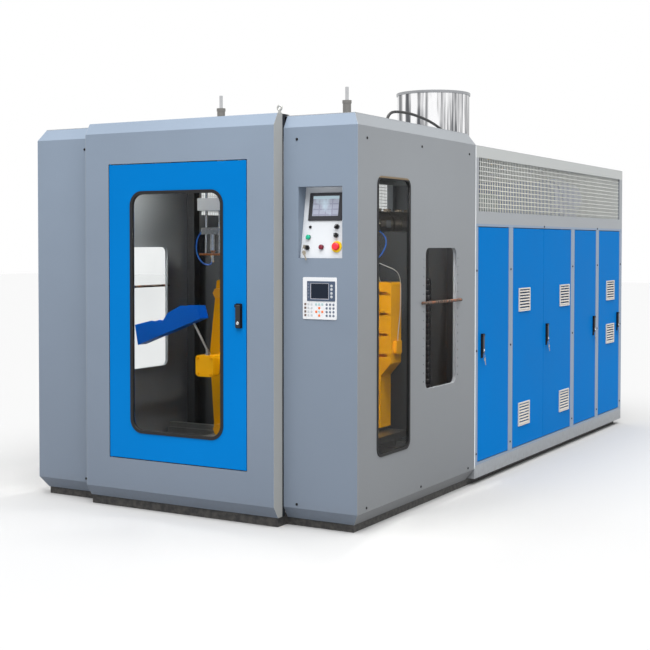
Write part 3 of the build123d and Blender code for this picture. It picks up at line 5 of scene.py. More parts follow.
import bmesh
import bpy
import numpy as np
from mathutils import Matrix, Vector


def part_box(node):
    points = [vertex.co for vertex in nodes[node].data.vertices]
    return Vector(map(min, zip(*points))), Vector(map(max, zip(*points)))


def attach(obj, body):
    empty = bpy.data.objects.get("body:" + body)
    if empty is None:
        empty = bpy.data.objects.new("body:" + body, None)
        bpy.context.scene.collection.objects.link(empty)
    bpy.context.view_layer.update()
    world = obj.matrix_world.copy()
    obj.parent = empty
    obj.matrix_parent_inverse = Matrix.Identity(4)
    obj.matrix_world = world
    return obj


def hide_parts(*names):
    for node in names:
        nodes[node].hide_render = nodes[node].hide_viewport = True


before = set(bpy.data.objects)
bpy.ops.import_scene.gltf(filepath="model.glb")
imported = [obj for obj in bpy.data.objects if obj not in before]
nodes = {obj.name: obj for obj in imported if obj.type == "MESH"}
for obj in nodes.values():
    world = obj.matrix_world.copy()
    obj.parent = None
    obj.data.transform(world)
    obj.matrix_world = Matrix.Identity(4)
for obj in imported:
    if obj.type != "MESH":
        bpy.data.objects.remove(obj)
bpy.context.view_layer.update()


# Studio: a pale floor and a white surrounding under broad light from above. The camera stands
# off the machine's front right corner, a little above the door lever, and looks slightly down.
def linked(name, data):
    """New object in the scene."""
    made = bpy.data.objects.new(name, data)
    bpy.context.scene.collection.objects.link(made)
    return made


def having(made, **settings):
    """The same thing with some of its properties set."""
    for setting, value in settings.items():
        setattr(made, setting, value)
    return made


def add(tree, kind, **settings):
    """New node of a kind."""
    return having(tree.nodes.new("ShaderNode" + kind), **settings)


def feed(into, value):
    """Gives a socket a link from another socket of its tree, or a fixed value."""
    if isinstance(value, bpy.types.NodeSocket):
        into.id_data.links.new(value, into)
    else:
        into.default_value = value


def reckon(tree, operation, first, second=0.0, third=0.0):
    """One step of arithmetic on numbers or sockets."""
    step = add(tree, "Math", operation=operation)
    for socket, value in zip(step.inputs, (first, second, third)):
        feed(socket, value)
    return step.outputs[0]


def chosen(tree, output, share, first, second):
    """Sends the first shader to an output, or the second where the share is 1."""
    choice = add(tree, "MixShader")
    for socket, value in zip(choice.inputs, (share, first, second)):
        feed(socket, value)
    feed(tree.nodes[output].inputs["Surface"], choice.outputs[0])


def blank(name, metallic=0.0, gloss=0.5):
    """New material: itself, its node tree and its shader, with a plain metallic and specular level."""
    material = bpy.data.materials.new(name)
    material.use_nodes = True
    shader = material.node_tree.nodes["Principled BSDF"]
    shader.inputs["Metallic"].default_value = metallic
    shader.inputs["Specular IOR Level"].default_value = gloss
    return material, material.node_tree, shader


def shaded(shader, colour, roughness):
    """Gives a shader its colour and roughness."""
    feed(shader.inputs["Base Color"], colour)
    feed(shader.inputs["Roughness"], roughness)


camera_data = bpy.data.cameras.new("camera")
having(camera_data, lens=68.69, sensor_width=36, shift_y=-0.0675, clip_end=100)
camera = linked("camera", camera_data)
camera.location = (4.0377, -7.7672, 1.4788)
camera.rotation_euler = (math.radians(88.2988), math.radians(-0.056), math.radians(29.804))
bpy.context.scene.camera = camera
bpy.context.scene.view_settings.view_transform = "Standard"

sky_level = 0.4
overhead_level = 6.0
broad_level = 70
floor_shade = 0.42

world = bpy.data.worlds.new("studio")
world.use_nodes = True
bpy.context.scene.world = world
sky = world.node_tree
lighting = sky.nodes["Background"]
seen = add(sky, "Background")
for source, strength in ((lighting, sky_level), (seen, 1.0)):
    source.inputs["Strength"].default_value = strength
    source.inputs["Color"].default_value = (1, 1, 1, 1)
rays = add(sky, "LightPath").outputs
shown = reckon(sky, "MAXIMUM", rays["Is Camera Ray"], rays["Is Glossy Ray"])
shown = reckon(sky, "MAXIMUM", shown, rays["Is Transmission Ray"])
chosen(sky, "World Output", shown, lighting.outputs[0], seen.outputs[0])

overhead = bpy.data.lights.new("overhead", "SUN")
overhead.energy = overhead_level
overhead.angle = math.radians(75)
overhead_lamp = linked("overhead", overhead)
overhead_lamp.rotation_euler = (math.radians(13), 0, math.radians(32))

broad = bpy.data.lights.new("broad", "AREA")
having(broad, shape="RECTANGLE", size=6, size_y=3, energy=broad_level)
broad_lamp = linked("broad", broad)
broad_lamp.location = (3.0, -5.2, 4.8)
broad_lamp.rotation_euler = (math.radians(54), 0, math.radians(36))
having(broad_lamp, visible_camera=False, visible_glossy=False, visible_transmission=False)

floor_mesh = bpy.data.meshes.new("floor")
floor_mesh.from_pydata([(-40, -40, 0), (40, -40, 0), (40, 40, 0), (-40, 40, 0)], [], [(0, 1, 2, 3)])
floor_finish, floor_shader = blank("floor", gloss=0)[::2]
shaded(floor_shader, (floor_shade, floor_shade, floor_shade, 1), 0.9)
floor_mesh.materials.append(floor_finish)
floor = linked("floor", floor_mesh)


# Base frame: rectangular steel tubes, welded and sprayed satin black. The spray leaves a faint
# orange peel, the edges carry a painted highlight, and dust settles on the tubes near the floor.
def linear(red, green, blue):
    """Colour as written on a swatch, 0 to 255, turned to linear light by the usual power curve."""
    share = np.array((red, green, blue)) / 255
    light = np.where(share <= 0.04045, share / 12.92, ((share + 0.055) / 1.055) ** 2.4)
    return (*light.tolist(), 1)


def times(tree, first, second):
    """Product of two numbers or sockets, or overlap of two masks."""
    return reckon(tree, "MULTIPLY", first, second)


def ranged(tree, value, low, high, from_low=0.3, from_high=0.7):
    """A value spread from one range to another and held inside it."""
    spread = add(tree, "MapRange")
    for label, number in (("From Min", from_low), ("From Max", from_high), ("To Min", low), ("To Max", high)):
        feed(spread.inputs[label], number)
    feed(spread.inputs["Value"], value)
    return spread.outputs["Result"]


def mixed(tree, share, first, second):
    """A colour between two others, by a share that varies over the surface."""
    mix = add(tree, "Mix", data_type="RGBA")
    feed(mix.inputs["Factor"], share)
    for letter, colour in (("A", first), ("B", second)):
        feed(next(s for s in mix.inputs if s.name == letter and s.type == "RGBA"), colour)
    return next(s for s in mix.outputs if s.type == "RGBA")


def cloud(tree, place, scale, detail=4.0):
    """Soft noise of a given scale at a place."""
    noise = add(tree, "TexNoise")
    feed(noise.inputs["Vector"], place)
    feed(noise.inputs["Scale"], scale)
    feed(noise.inputs["Detail"], detail)
    return noise.outputs["Fac"]


def place_on(tree):
    """The place on the surface, in metres from the origin."""
    return add(tree, "TexCoord").outputs["Object"]


def axes_of(tree):
    """The same place as three numbers, named X, Y and Z."""
    parts = add(tree, "SeparateXYZ")
    feed(parts.inputs[0], place_on(tree))
    return parts.outputs


def effect(name, inputs, outputs):
    """Empty node group with named numbers, and their usual values, going in and named ones coming out."""
    group = bpy.data.node_groups.new(name, "ShaderNodeTree")
    for label, value in inputs.items():
        group.interface.new_socket(label, in_out="INPUT", socket_type="NodeSocketFloat").default_value = value
    for label in outputs:
        group.interface.new_socket(label, in_out="OUTPUT", socket_type="NodeSocketFloat")
    return group, group.nodes.new("NodeGroupInput").outputs, group.nodes.new("NodeGroupOutput").inputs


coat_effect, given, result = effect(
    "sprayed_coat",
    {"Cloud Scale": 1.3, "Peel Scale": 420.0, "Dust Height": 0.16, "Edge Width": 0.003},
    ("Cloud", "Peel", "Dust", "Edge"),
)
tree = coat_effect
spot = place_on(tree)
feed(result["Cloud"], cloud(tree, spot, given["Cloud Scale"], 5))
feed(result["Peel"], cloud(tree, spot, given["Peel Scale"], 2))
fall = ranged(tree, axes_of(tree)["Z"], 1, 0, 0, given["Dust Height"])
specks = ranged(tree, cloud(tree, spot, 38, 8), 0.2, 1, 0.35, 0.65)
feed(result["Dust"], times(tree, fall, specks))
softened = add(tree, "Bevel", samples=4)
feed(softened.inputs["Radius"], given["Edge Width"])
bend = add(tree, "VectorMath", operation="DOT_PRODUCT")
feed(bend.inputs[0], softened.outputs["Normal"])
feed(bend.inputs[1], add(tree, "NewGeometry").outputs["Normal"])
feed(result["Edge"], ranged(tree, bend.outputs["Value"], 1, 0, 0.75, 0.99))


def raised(tree, shader, height, distance):
    """Bump of a height in metres on the shader's normal."""
    bump = add(tree, "Bump")
    feed(bump.inputs["Distance"], distance)
    feed(bump.inputs["Height"], height)
    feed(shader.inputs["Normal"], bump.outputs["Normal"])


def tinted(colour, factor):
    """A colour made lighter or darker by a factor."""
    return (*[min(1.0, part * factor) for part in colour[:3]], 1)


def sprayed(name, colour, roughness, gloss=0.22, shift=0.06, dust=0.45, edge=0.35, peel=0.00004,
            peel_scale=420.0):
    """Sprayed steel: colour that clouds by a share, a painted highlight on the edges, orange peel, and dust
    at the foot.
    """
    material, tree, shader = blank(name, gloss=gloss)
    coat = add(tree, "Group", node_tree=coat_effect)
    coat.inputs["Peel Scale"].default_value = peel_scale
    base = linear(*colour)
    tone = ranged(tree, coat.outputs["Cloud"], 0, 1)
    clouded = mixed(tree, tone, tinted(base, 1 - shift), tinted(base, 1 + shift))
    # Painted highlight: the edges are lightened where they would catch the light.
    edge_highlighted = mixed(tree, times(tree, coat.outputs["Edge"], edge), clouded, tinted(base, 1.7))
    dusty = mixed(tree, times(tree, coat.outputs["Dust"], dust), edge_highlighted, linear(112, 108, 102))
    shaded(shader, dusty, ranged(tree, coat.outputs["Cloud"], roughness - 0.05, roughness + 0.06))
    raised(tree, shader, coat.outputs["Peel"], peel)
    return material


def finish(material, *names):
    """Gives CAD nodes a finish by assigning it to their material slots."""
    for name in names:
        for place in nodes[name].material_slots:
            place.material = material


frame_black = sprayed("frame_black", (40, 41, 43), 0.5, dust=0.4)
finish(frame_black, "base_frame")


# Carriage and rails: milled steel deck, guides and rails. Milling leaves fine parallel lines
# along X and a thin film of oil makes the gloss uneven.
milled_effect, given, result = effect(
    "milled_lines", {"Across": 900.0, "Along": 6.0, "Film Scale": 5.0}, ("Lines", "Film")
)
tree = milled_effect
axes = axes_of(tree)
drawn_out = add(tree, "CombineXYZ")
for letter, label in zip("XYZ", ("Along", "Across", "Across")):
    feed(drawn_out.inputs[letter], times(tree, axes[letter], given[label]))
feed(result["Lines"], cloud(tree, drawn_out.outputs[0], 1.0, 2))
feed(result["Film"], cloud(tree, place_on(tree), given["Film Scale"], 6))


def milled(name, colour, roughness, depth=0.00002, shift=0.12, across=900.0, along=6.0, film=5.0):
    """Bare metal: tool lines shade the colour and raise the surface, and a film varies the gloss."""
    material, tree, shader = blank(name, metallic=1.0)
    lines = add(tree, "Group", node_tree=milled_effect)
    for label, value in (("Across", across), ("Along", along), ("Film Scale", film)):
        lines.inputs[label].default_value = value
    base = linear(*colour)
    tone = ranged(tree, lines.outputs["Lines"], 0, 1)
    shade = mixed(tree, tone, tinted(base, 1 - shift), tinted(base, 1 + shift))
    oiled = mixed(tree, ranged(tree, lines.outputs["Film"], 0, 0.5, 0.45, 0.7), shade, tinted(base, 0.72))
    shaded(shader, oiled, ranged(tree, lines.outputs["Film"], roughness - 0.08, roughness + 0.12))
    raised(tree, shader, lines.outputs["Lines"], depth)
    return material


machine_steel = milled("machine_steel", (158, 158, 156), 0.4)
finish(machine_steel, "carriage", "carriage_rails", "extruder_screw")


# Clamps: cast iron platens and end plates, filled and sprayed yellow with a coarse skin. The
# cylinder's cap is bolted on, and grease darkens the foot of each casting.
clamp_yellow = sprayed("clamp_yellow", (248, 172, 0), 0.42, gloss=0.12, shift=0.1, edge=0.25, peel=0.0003,
                       peel_scale=110.0)
for side in ("left", "right"):
    finish(clamp_yellow, f"rear_platen_{side}", f"front_platen_{side}", f"end_plate_{side}")


def circle(radius, steps=16, sides=0):
    """Closed loop of points round a circle, or round a polygon whose flats lie at that radius."""
    turn = np.arange(steps) * 2 * math.pi / steps
    reach = np.full(steps, float(radius))
    if sides:
        half = math.pi / sides
        reach = radius / np.cos((turn + half) % (2 * half) - half)
    return np.stack([reach * np.cos(turn), reach * np.sin(turn)], -1)


def stacked(*layers):
    """Closed skin from flat loops, each at its height. Both ends shrink to a point."""
    rows = np.stack([np.column_stack([loop, np.full(len(loop), height)]) for loop, height in layers])
    ends = np.broadcast_to(rows.mean(1, keepdims=True), rows.shape)
    return np.concatenate([ends[:1], rows, ends[-1:]])


def turned(steps, *rows):
    """The same from circles: a radius, a height and, for a polygon, the number of its sides."""
    return stacked(*[(circle(radius, steps, *sides), height) for radius, height, *sides in rows])


def set_at(skin, origins, across=(1, 0, 0), up=(0, 0, 1)):
    """Copies of a skin with its x along across, its y along up and its z along their cross product."""
    across, up = np.array(across, float), np.array(up, float)
    axes = np.stack([across, up, np.cross(across, up)])
    return [np.array(origin, float) + skin @ axes for origin in origins]


def piece(name, skins, material, body):
    """One piece from skins of points in rows: neighbours make quads, doubles merge, faces turn outwards."""
    points, quads, start = [], [], 0
    for skin in skins:
        rows, count = skin.shape[:2]
        row, column = np.meshgrid(np.arange(rows - 1), np.arange(count), indexing="ij")
        corner = start + row * count
        beyond = corner + count
        following = (column + 1) % count
        sides = [corner + column, corner + following, beyond + following, beyond + column]
        quads.append(np.stack(sides, -1).reshape(-1, 4))
        points.append(skin.reshape(-1, 3))
        start += rows * count
    mesh = bpy.data.meshes.new(name)
    mesh.from_pydata(np.concatenate(points).tolist(), [], np.concatenate(quads).tolist())
    shell = bmesh.new()
    shell.from_mesh(mesh)
    bmesh.ops.remove_doubles(shell, verts=shell.verts, dist=1e-6)
    bmesh.ops.recalc_face_normals(shell, faces=shell.faces)
    shell.to_mesh(mesh)
    shell.free()
    mesh.shade_smooth()
    mesh.set_sharp_from_angle(angle=math.radians(35))
    mesh.materials.append(material)
    made = linked(name, mesh)
    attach(made, body)
    return made


socket_screw = turned(12, (0.0085, 0), (0.0085, 0.008), (0.0077, 0.009), (0.0045, 0.009),
                      (0.0042, 0.0088, 6), (0.0042, 0.004, 6))
hydraulic_fitting = turned(12, (0.011, 0, 6), (0.011, 0.012, 6), (0.008, 0.013), (0.008, 0.02),
                           (0.0095, 0.021, 6), (0.0095, 0.033, 6))
nut_corner, flat_share, bar_rise, bolt_reach = 0.031, 0.866, 0.4, 0.045
for side in ("left", "right"):
    low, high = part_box(f"end_plate_{side}")
    station_x = (low.x + high.x) / 2
    hub_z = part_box(f"tie_bars_{side}")[1].z - nut_corner * flat_share - bar_rise
    corners = [(station_x + a * bolt_reach, low.y, hub_z + b * bolt_reach) for a in (-1, 1) for b in (-1, 1)]
    cap_screws = set_at(socket_screw, corners)
    piece(f"cap_screws_{side}", cap_screws, clamp_yellow, f"clamp_frame_{side}")
    ports = [(station_x, low.y + 0.03, hub_z + 0.0595), (station_x, low.y + 0.235, hub_z + 0.0575)]
    fittings = set_at(hydraulic_fitting, ports, up=(0, 1, 0))
    piece(f"cylinder_ports_{side}", fittings, machine_steel, f"clamp_frame_{side}")


# Tie bars: ground steel rods, hard-chromed, that run through the platens and carry them. The
# nuts at both ends were sprayed together with the castings.
def banded(tree, value, low, high):
    """Mask that is 1 where a value lies between two limits."""
    return reckon(tree, "COMPARE", value, (low + high) / 2, (high - low) / 2)


def within(tree, **limits):
    """Mask that is 1 inside a box: the product of the masks of its axes. Other axes have no limit."""
    axes = axes_of(tree)
    mask = 1.0
    for axis, (low, high) in limits.items():
        mask = times(tree, mask, banded(tree, axes[axis], low, high))
    return mask


def overlaid(tree, mask, colour, roughness, metallic=None):
    """Second finish where a mask is 1. Colour and roughness pass from the first to it by the mask."""
    shader = tree.nodes["Principled BSDF"]
    painted, rough = (shader.inputs[label].links[0].from_socket for label in ("Base Color", "Roughness"))
    kept = times(tree, rough, reckon(tree, "SUBTRACT", 1.0, mask))
    shaded(shader, mixed(tree, mask, painted, colour), reckon(tree, "MULTIPLY_ADD", mask, roughness, kept))
    if metallic is not None:
        feed(shader.inputs["Metallic"], metallic)


tie_chrome = milled("tie_chrome", (212, 213, 216), 0.16, depth=0.000004, shift=0.04, film=3.0)
tree = tie_chrome.node_tree
platen_low, platen_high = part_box("rear_platen_right")
end_plate_reach = 0.712
front_nuts = within(tree, Y=(-3.0, platen_low.y - end_plate_reach + 0.0005))
nuts = reckon(tree, "MAXIMUM", front_nuts, within(tree, Y=(platen_high.y - 0.0005, 3.0)))
overlaid(tree, nuts, linear(242, 164, 0), 0.42, reckon(tree, "SUBTRACT", 1.0, nuts))
finish(tie_chrome, "tie_bars_left", "tie_bars_right")


# Delivery chute: cut and bent sheet steel, sprayed blue, with a painted highlight along its edges. The
# stays that carry it lie below the line of its sloping floor and are bright steel.
tray_finish = sprayed("tray_finish", (0, 98, 206), 0.4, gloss=0.1, edge=0.5)
tree = tray_finish.node_tree
tray_axes = axes_of(tree)
tray_slope, tray_foot_x, tray_foot_z, sheet = 0.375, -1.008, 0.825, 0.004
floor_rise = tray_foot_z - tray_foot_x * tray_slope - sheet
floor_line = reckon(tree, "MULTIPLY_ADD", tray_axes["X"], tray_slope, floor_rise)
stays = reckon(tree, "LESS_THAN", tray_axes["Z"], floor_line)
overlaid(tree, stays, linear(206, 206, 204), 0.3, stays)
finish(tray_finish, "tray")


# Extruder: barrel with clamped heater bands, die head with cartridge heaters, gearbox and motor.
# Heat has browned the bands, and the drive is sprayed green and blue as it came from its makers.
band_steel = milled("band_steel", (150, 138, 124), 0.38, across=40.0, along=300.0, film=14.0, shift=0.18)
finish(band_steel, "barrel", "die_head")
gear_green = sprayed("gear_green", (62, 98, 92), 0.45, gloss=0.3, peel=0.00015, peel_scale=180.0)
finish(gear_green, "gearbox")
finish(sprayed("motor_blue", (52, 88, 166), 0.42, gloss=0.3, peel=0.0001, peel_scale=180.0), "extruder_motor")


def rounded(width, height, radius):
    """Closed loop round a rectangle: four quarter circles, each about its own corner's centre."""
    quarter = np.repeat(np.arange(4), 4)
    turn = np.radians(quarter * 90 + np.tile(np.linspace(0, 90, 4), 4))
    side = np.where((quarter == 0) | (quarter == 3), 1, -1) * (width / 2 - radius)
    end = np.where(quarter < 2, 1, -1) * (height / 2 - radius)
    return np.stack([side + radius * np.cos(turn), end + radius * np.sin(turn)], -1)


def squared(*rows):
    """Closed skin from rounded rectangles: a width, a depth, the corners' radius and a height."""
    return stacked(*[(rounded(*row[:3]), row[3]) for row in rows])


barrel_low, barrel_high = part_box("barrel")
die_low, die_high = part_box("die_head")
barrel_z = (die_low.z + die_high.z) / 2 + 0.115
band_radius, bands, front_bare, rear_bare, half_gap = 0.095, 6, 0.06, 0.29, 0.015
band_pitch = (barrel_high.y - rear_bare - barrel_low.y - front_bare) / bands
band_middles = [barrel_low.y + front_bare + (n + 0.5) * band_pitch - half_gap for n in range(bands)]
clamp_lug = squared((0.05, 0.026, 0.003, 0), (0.05, 0.026, 0.003, 0.018), (0.046, 0.022, 0.002, 0.02))
lugs = [(0, y + shift, barrel_z + band_radius - 0.002) for y in band_middles for shift in (-0.09, 0.09)]
piece("band_lugs", set_at(clamp_lug, lugs, up=(0, 1, 0)), band_steel, "housing")
terminal_box = squared(
    (0.07, 0.05, 0.004, 0), (0.07, 0.05, 0.004, 0.036), (0.074, 0.054, 0.005, 0.037),
    (0.074, 0.054, 0.005, 0.042), (0.07, 0.05, 0.004, 0.044),
)
box_spots = [(band_radius - 0.003, y, barrel_z) for y in band_middles]
boxes = set_at(terminal_box, box_spots, (0, 1, 0))
piece("band_terminals", boxes, machine_steel, "housing")


# Hopper: thin stainless sheet rolled to a cylinder and polished, with a rolled rim. The sheet
# keeps faint upright bands from rolling; its grey and white streaks stand for these bands and
# for painted reflections, and two broad bands round it are painted reflections.
hopper_steel, tree, shader = blank("hopper_steel", metallic=1.0)
axes = axes_of(tree)
hopper_low, hopper_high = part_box("hopper")
hopper_y = (hopper_low.y + hopper_high.y) / 2
bearing = reckon(tree, "ARCTAN2", reckon(tree, "SUBTRACT", axes["Y"], hopper_y), axes["X"])
streak_place = add(tree, "CombineXYZ")
feed(streak_place.inputs["X"], bearing)
feed(streak_place.inputs["Z"], times(tree, axes["Z"], 0.15))
streaks = cloud(tree, streak_place.outputs[0], 5.0, 2)
fine_streaks = cloud(tree, streak_place.outputs[0], 30.0, 2)
both = reckon(tree, "MULTIPLY_ADD", streaks, 0.8, times(tree, fine_streaks, 0.2))
# Painted reflection: two broad light and dark bands round the hopper.
reflection_bands = reckon(tree, "COSINE", reckon(tree, "MULTIPLY_ADD", bearing, 2.0, 2.2))
both = reckon(tree, "MULTIPLY_ADD", reflection_bands, 0.045, both)
streaks_and_reflections = mixed(tree, ranged(tree, both, 0, 1, 0.42, 0.56), linear(96, 98, 102), linear(250, 250, 251))
shaded(shader, streaks_and_reflections, ranged(tree, both, 0.14, 0.26))
finish(hopper_steel, "hopper")


# Hopper rim: a strip of the same stainless sheet, rolled over the edge of the mouth to stiffen
# it, and not polished again.
def ring(rows, steps):
    """Skin of rows that each turn once round the Z axis, at a radius and a height."""
    turn = np.linspace(0, 2 * math.pi, steps + 1)[:-1]
    return np.stack([np.stack([r * np.cos(turn), r * np.sin(turn), np.full(steps, h)], -1) for r, h in rows])


rim_steel = milled("rim_steel", (160, 162, 165), 0.3, film=12.0)
mouth_z, mouth_radius = hopper_high.z, (hopper_high.x - hopper_low.x) / 2
rim_rows = [
    (-0.0012, -0.018), (0.0045, -0.017), (0.0055, -0.004), (0.0045, 0.003), (-0.004, 0.004),
    (-0.0095, 0.0005), (-0.007, -0.002), (-0.0012, -0.018),
]
rim = ring([(mouth_radius + r, mouth_z + h) for r, h in rim_rows], 96) + np.array((0, hopper_y, 0))
piece("hopper_edge", [rim], rim_steel, "housing")


# Hydraulic unit: a tank welded from sheet steel and sprayed green, with its lid screwed down and
# the pump's motor standing on it.
finish(gear_green, "power_pack")


# Blow units: a pneumatic cylinder of clear anodised aluminium over each pin, with chromed guide
# rods and a stripper plate of bronze that holds the bottle's neck. Blue air hoses serve them.
cylinder_aluminium = milled("cylinder_aluminium", (196, 197, 200), 0.34, depth=0.000008, shift=0.05)


def relaid(material, colour, roughness, **limits):
    """Second finish on the part of a node that lies inside a box."""
    tree = material.node_tree
    overlaid(tree, within(tree, **limits), linear(*colour), roughness)


roof_top_z = 2.1505
relaid(cylinder_aluminium, (132, 130, 127), 0.4, Z=(roof_top_z, 3.0))
finish(cylinder_aluminium, "blow_cylinders")
pin_steel = milled("pin_steel", (196, 197, 199), 0.22, depth=0.000006, shift=0.05)
stripper_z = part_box("blow_pin_right")[0].z + 0.044
relaid(pin_steel, (176, 112, 74), 0.34, Z=(stripper_z - 0.0005, stripper_z + 0.0125))
finish(pin_steel, "blow_pin_left", "blow_pin_right")

hose_blue = sprayed("hose_blue", (30, 104, 206), 0.3, gloss=0.5, dust=0, edge=0, peel=0.00001)
brass = milled("brass", (196, 160, 92), 0.3, film=20.0)


def hose(name, points, diameter, material, body):
    """Hose on a smooth line: parabolas that the points steer, between the middles of its spans."""
    points = np.array(points, float)
    curve = bpy.data.curves.new(name, "CURVE")
    having(curve, dimensions="3D", bevel_depth=diameter / 2, bevel_resolution=3, use_fill_caps=True)
    line = curve.splines.new("NURBS")
    line.points.add(len(points) - 1)
    line.points.foreach_set("co", np.column_stack([points, np.ones(len(points))]).ravel())
    having(line, order_u=3, use_endpoint_u=True, resolution_u=12)
    curve.materials.append(material)
    made = linked(name, curve)
    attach(made, body)
    return made


push_fitting = turned(
    12, (0.0075, -0.001, 6), (0.0075, 0.008, 6), (0.0062, 0.009), (0.0062, 0.018), (0.0068, 0.0185),
    (0.0068, 0.021), (0.0045, 0.022),
)
low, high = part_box("blow_pin_left")
centre_x = (low.x + high.x) / 2
holder_side = (centre_x - 0.071, low.y + 0.085, low.z + 0.1965)
neck_under = (centre_x - 0.03, low.y + 0.073, low.z + 0.044)
skins = set_at(push_fitting, [holder_side], (0, 1, 0), (0, 0, -1))
skins += set_at(push_fitting, [neck_under], (1, 0, 0), (0, -1, 0))
piece("air_fittings_left", skins, brass, "blow_pin_left")
left_arc = [
    (-0.0215, 0, 0), (-0.045, 0, -0.004), (-0.078, 0, -0.038), (-0.092, 0, -0.1), (-0.08, 0, -0.158),
    (-0.04, -0.004, -0.204), (0.01, -0.008, -0.216), (0.041, -0.012, -0.205), (0.041, -0.012, -0.1745),
]
left_line = np.array(left_arc) + holder_side
hose("air_hose_left", left_line, 0.008, hose_blue, "blow_pin_left")

low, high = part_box("blow_pin_right")
centre_x = (low.x + high.x) / 2
holder_z = low.z + 0.1965
stripper_back_y = low.y + 0.084
fitting_ends = [(centre_x + 0.045, high.y, holder_z), (centre_x + 0.06, stripper_back_y, stripper_z + 0.006)]
piece("air_fittings_right", set_at(push_fitting, fitting_ends, (0, 0, 1), (1, 0, 0)), brass, "blow_pin_right")
right_arc = [
    (0.045, 0.021, 0), (0.048, 0.085, 0.012), (0.075, 0.25, 0.01), (0.1, 0.33, -0.06),
    (0.095, 0.22, -0.172), (0.07, 0.09, -0.19),
]
right_line = [(centre_x + across, high.y + along, holder_z + rise) for across, along, rise in right_arc]
right_line += [(centre_x + 0.06, stripper_back_y + along, stripper_z + 0.006) for along in (0.07, 0.021)]
hose("air_hose_right", right_line, 0.008, hose_blue, "blow_pin_right")


# Sensor cables: a pale cable leaves each rear platen's top, arcs over its outer edge and runs
# down to the junction block on its side.
cable_white = sprayed("cable_white", (206, 206, 200), 0.5, dust=0, edge=0, peel=0.00001)
cable_arc = [
    (-0.08, 0.012, 0), (-0.08, -0.02, 0.06), (-0.05, -0.12, 0.13), (0.015, -0.075, 0.095),
    (0.022, 0.03, 0.072), (0.022, 0.085, 0.02), (0.016, 0.1, -0.08), (0.012, 0.1, -0.2),
]
for side, outer in (("left", -1), ("right", 1)):
    low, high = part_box(f"rear_platen_{side}")
    block_x = high.x if outer > 0 else low.x
    face_x = block_x - outer * 0.022
    block_top_z = high.z - 0.354
    line = [(face_x + outer * across, low.y + along, high.z + rise) for across, along, rise in cable_arc]
    line += [(face_x + outer * 0.012, (low.y + high.y) / 2, block_top_z + rise) for rise in (0.04, 0)]
    hose(f"sensor_cable_{side}", line, 0.0045, cable_white, f"clamp_frame_{side}")


# Block panels: folded steel sheets, powder-coated grey. The sheets of the operator's side have
# a bluish batch of the coat and the side walls the neutral one. The bulkhead behind is painted
# darker, as painted shade inside the block.
panel_blue_grey = sprayed("panel_blue_grey", (127, 140, 156), 0.4, shift=0.05)
panel_grey = sprayed("panel_grey", (134, 138, 142), 0.42, shift=0.05)
# Painted shade: the bulkhead's dark grey stands for the shade deep inside the block.
bulkhead_shade_grey = sprayed("bulkhead_shade_grey", (66, 68, 70), 0.5, shift=0.08)


def foot_shaded(material, colour, share, height):
    """Painted shade: the coat darker towards its foot, by a share that falls evenly to nothing at a height.
    """
    tree = material.node_tree
    foot = ranged(tree, axes_of(tree)["Z"], share, 0, 0, height)
    overlaid(tree, foot, linear(*colour), 0.45)


# Painted shade: the sheets are darker towards the floor.
foot_shaded(panel_blue_grey, (98, 106, 118), 0.6, 2.0)
foot_shaded(panel_grey, (100, 102, 104), 0.6, 1.8)
finish(panel_blue_grey, "front_left_panel", "front_right_panel")
finish(panel_grey, "right_side_panel", "left_side_panel")
finish(bulkhead_shade_grey, "bulkhead")

wall_low, wall_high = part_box("right_side_panel")
side_x, front_y, seam_y = wall_high.x, wall_low.y, wall_high.y
surround_low, surround_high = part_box("front_surround")
leaf_low, leaf_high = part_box("front_door")
surround_coat = sprayed("surround_coat", (127, 140, 156), 0.4, shift=0.05)
# Painted shade: the surround is darker towards the floor, as the sheets are.
foot_shaded(surround_coat, (98, 106, 118), 0.6, 2.0)
gap = 0.008
# Painted shadow: the rebate round the door is painted near black, for the shade in the gap.
relaid(surround_coat, (22, 23, 25), 0.6, X=(leaf_low.x - gap, leaf_high.x + gap),
       Y=(surround_low.y + 0.0012, front_y + 0.05), Z=(leaf_low.z - gap, leaf_high.z + gap))
tree = surround_coat.node_tree
# Painted light: the surround's side faces get a lighter neutral grey, as lit from the side.
face = within(tree, X=(surround_low.x + 0.0008, surround_high.x - 0.0008))
lit_cheeks = reckon(tree, "SUBTRACT", 1.0, face)
overlaid(tree, lit_cheeks, linear(158, 159, 157), 0.42)
# Painted shadow: the side faces' last strip at the flank is near black, for the shade in the joint.
joint_shadow = times(tree, lit_cheeks, within(tree, Y=(front_y - 0.0075, front_y + 0.05)))
overlaid(tree, joint_shadow, linear(30, 33, 38), 0.6)
finish(surround_coat, "front_surround")
black_oxide = milled("black_oxide", (52, 52, 54), 0.42, film=30.0)
button_screw = turned(12, (0.0075, 0), (0.0075, 0.0008), (0.0062, 0.0028), (0.004, 0.0036),
                      (0.0026, 0.0035, 6), (0.0026, 0.0015, 6))
screw_rows = (0.122, 2.022)
flank_x = surround_high.x + 0.084
front_spots = [(side * flank_x, front_y, z) for side in (-1, 1) for z in screw_rows]
wall_spots = [front_y + back for back in (0.101, 0.753, 1.417)]
wall_screws = set_at(button_screw, front_spots)
for side in (-1, 1):
    spots = [(side * side_x, y, z) for y in wall_spots for z in screw_rows]
    wall_screws += set_at(button_screw, spots, (0, side, 0))
piece("wall_screws", wall_screws, black_oxide, "housing")


# Sealant: a pale silicone bead that closes the joint between block and cabinet, pressed in from
# floor to roof and smoothed by hand.
sealant = sprayed("sealant", (218, 221, 224), 0.6, dust=0.3, edge=0)
bead = turned(10, (0.0038, 0.105), (0.0038, 2.08))
beads = [bead + np.array((side * (side_x + 0.0006), seam_y, 0)) for side in (-1, 1)]
piece("joint_bead", beads, sealant, "housing")


# Lifting eye: a forged steel ring on a collar, zinc-plated and screwed into the roof, where the
# crane takes hold.
finish(milled("zinc", (186, 186, 182), 0.35, film=40.0), "lifting_eye")


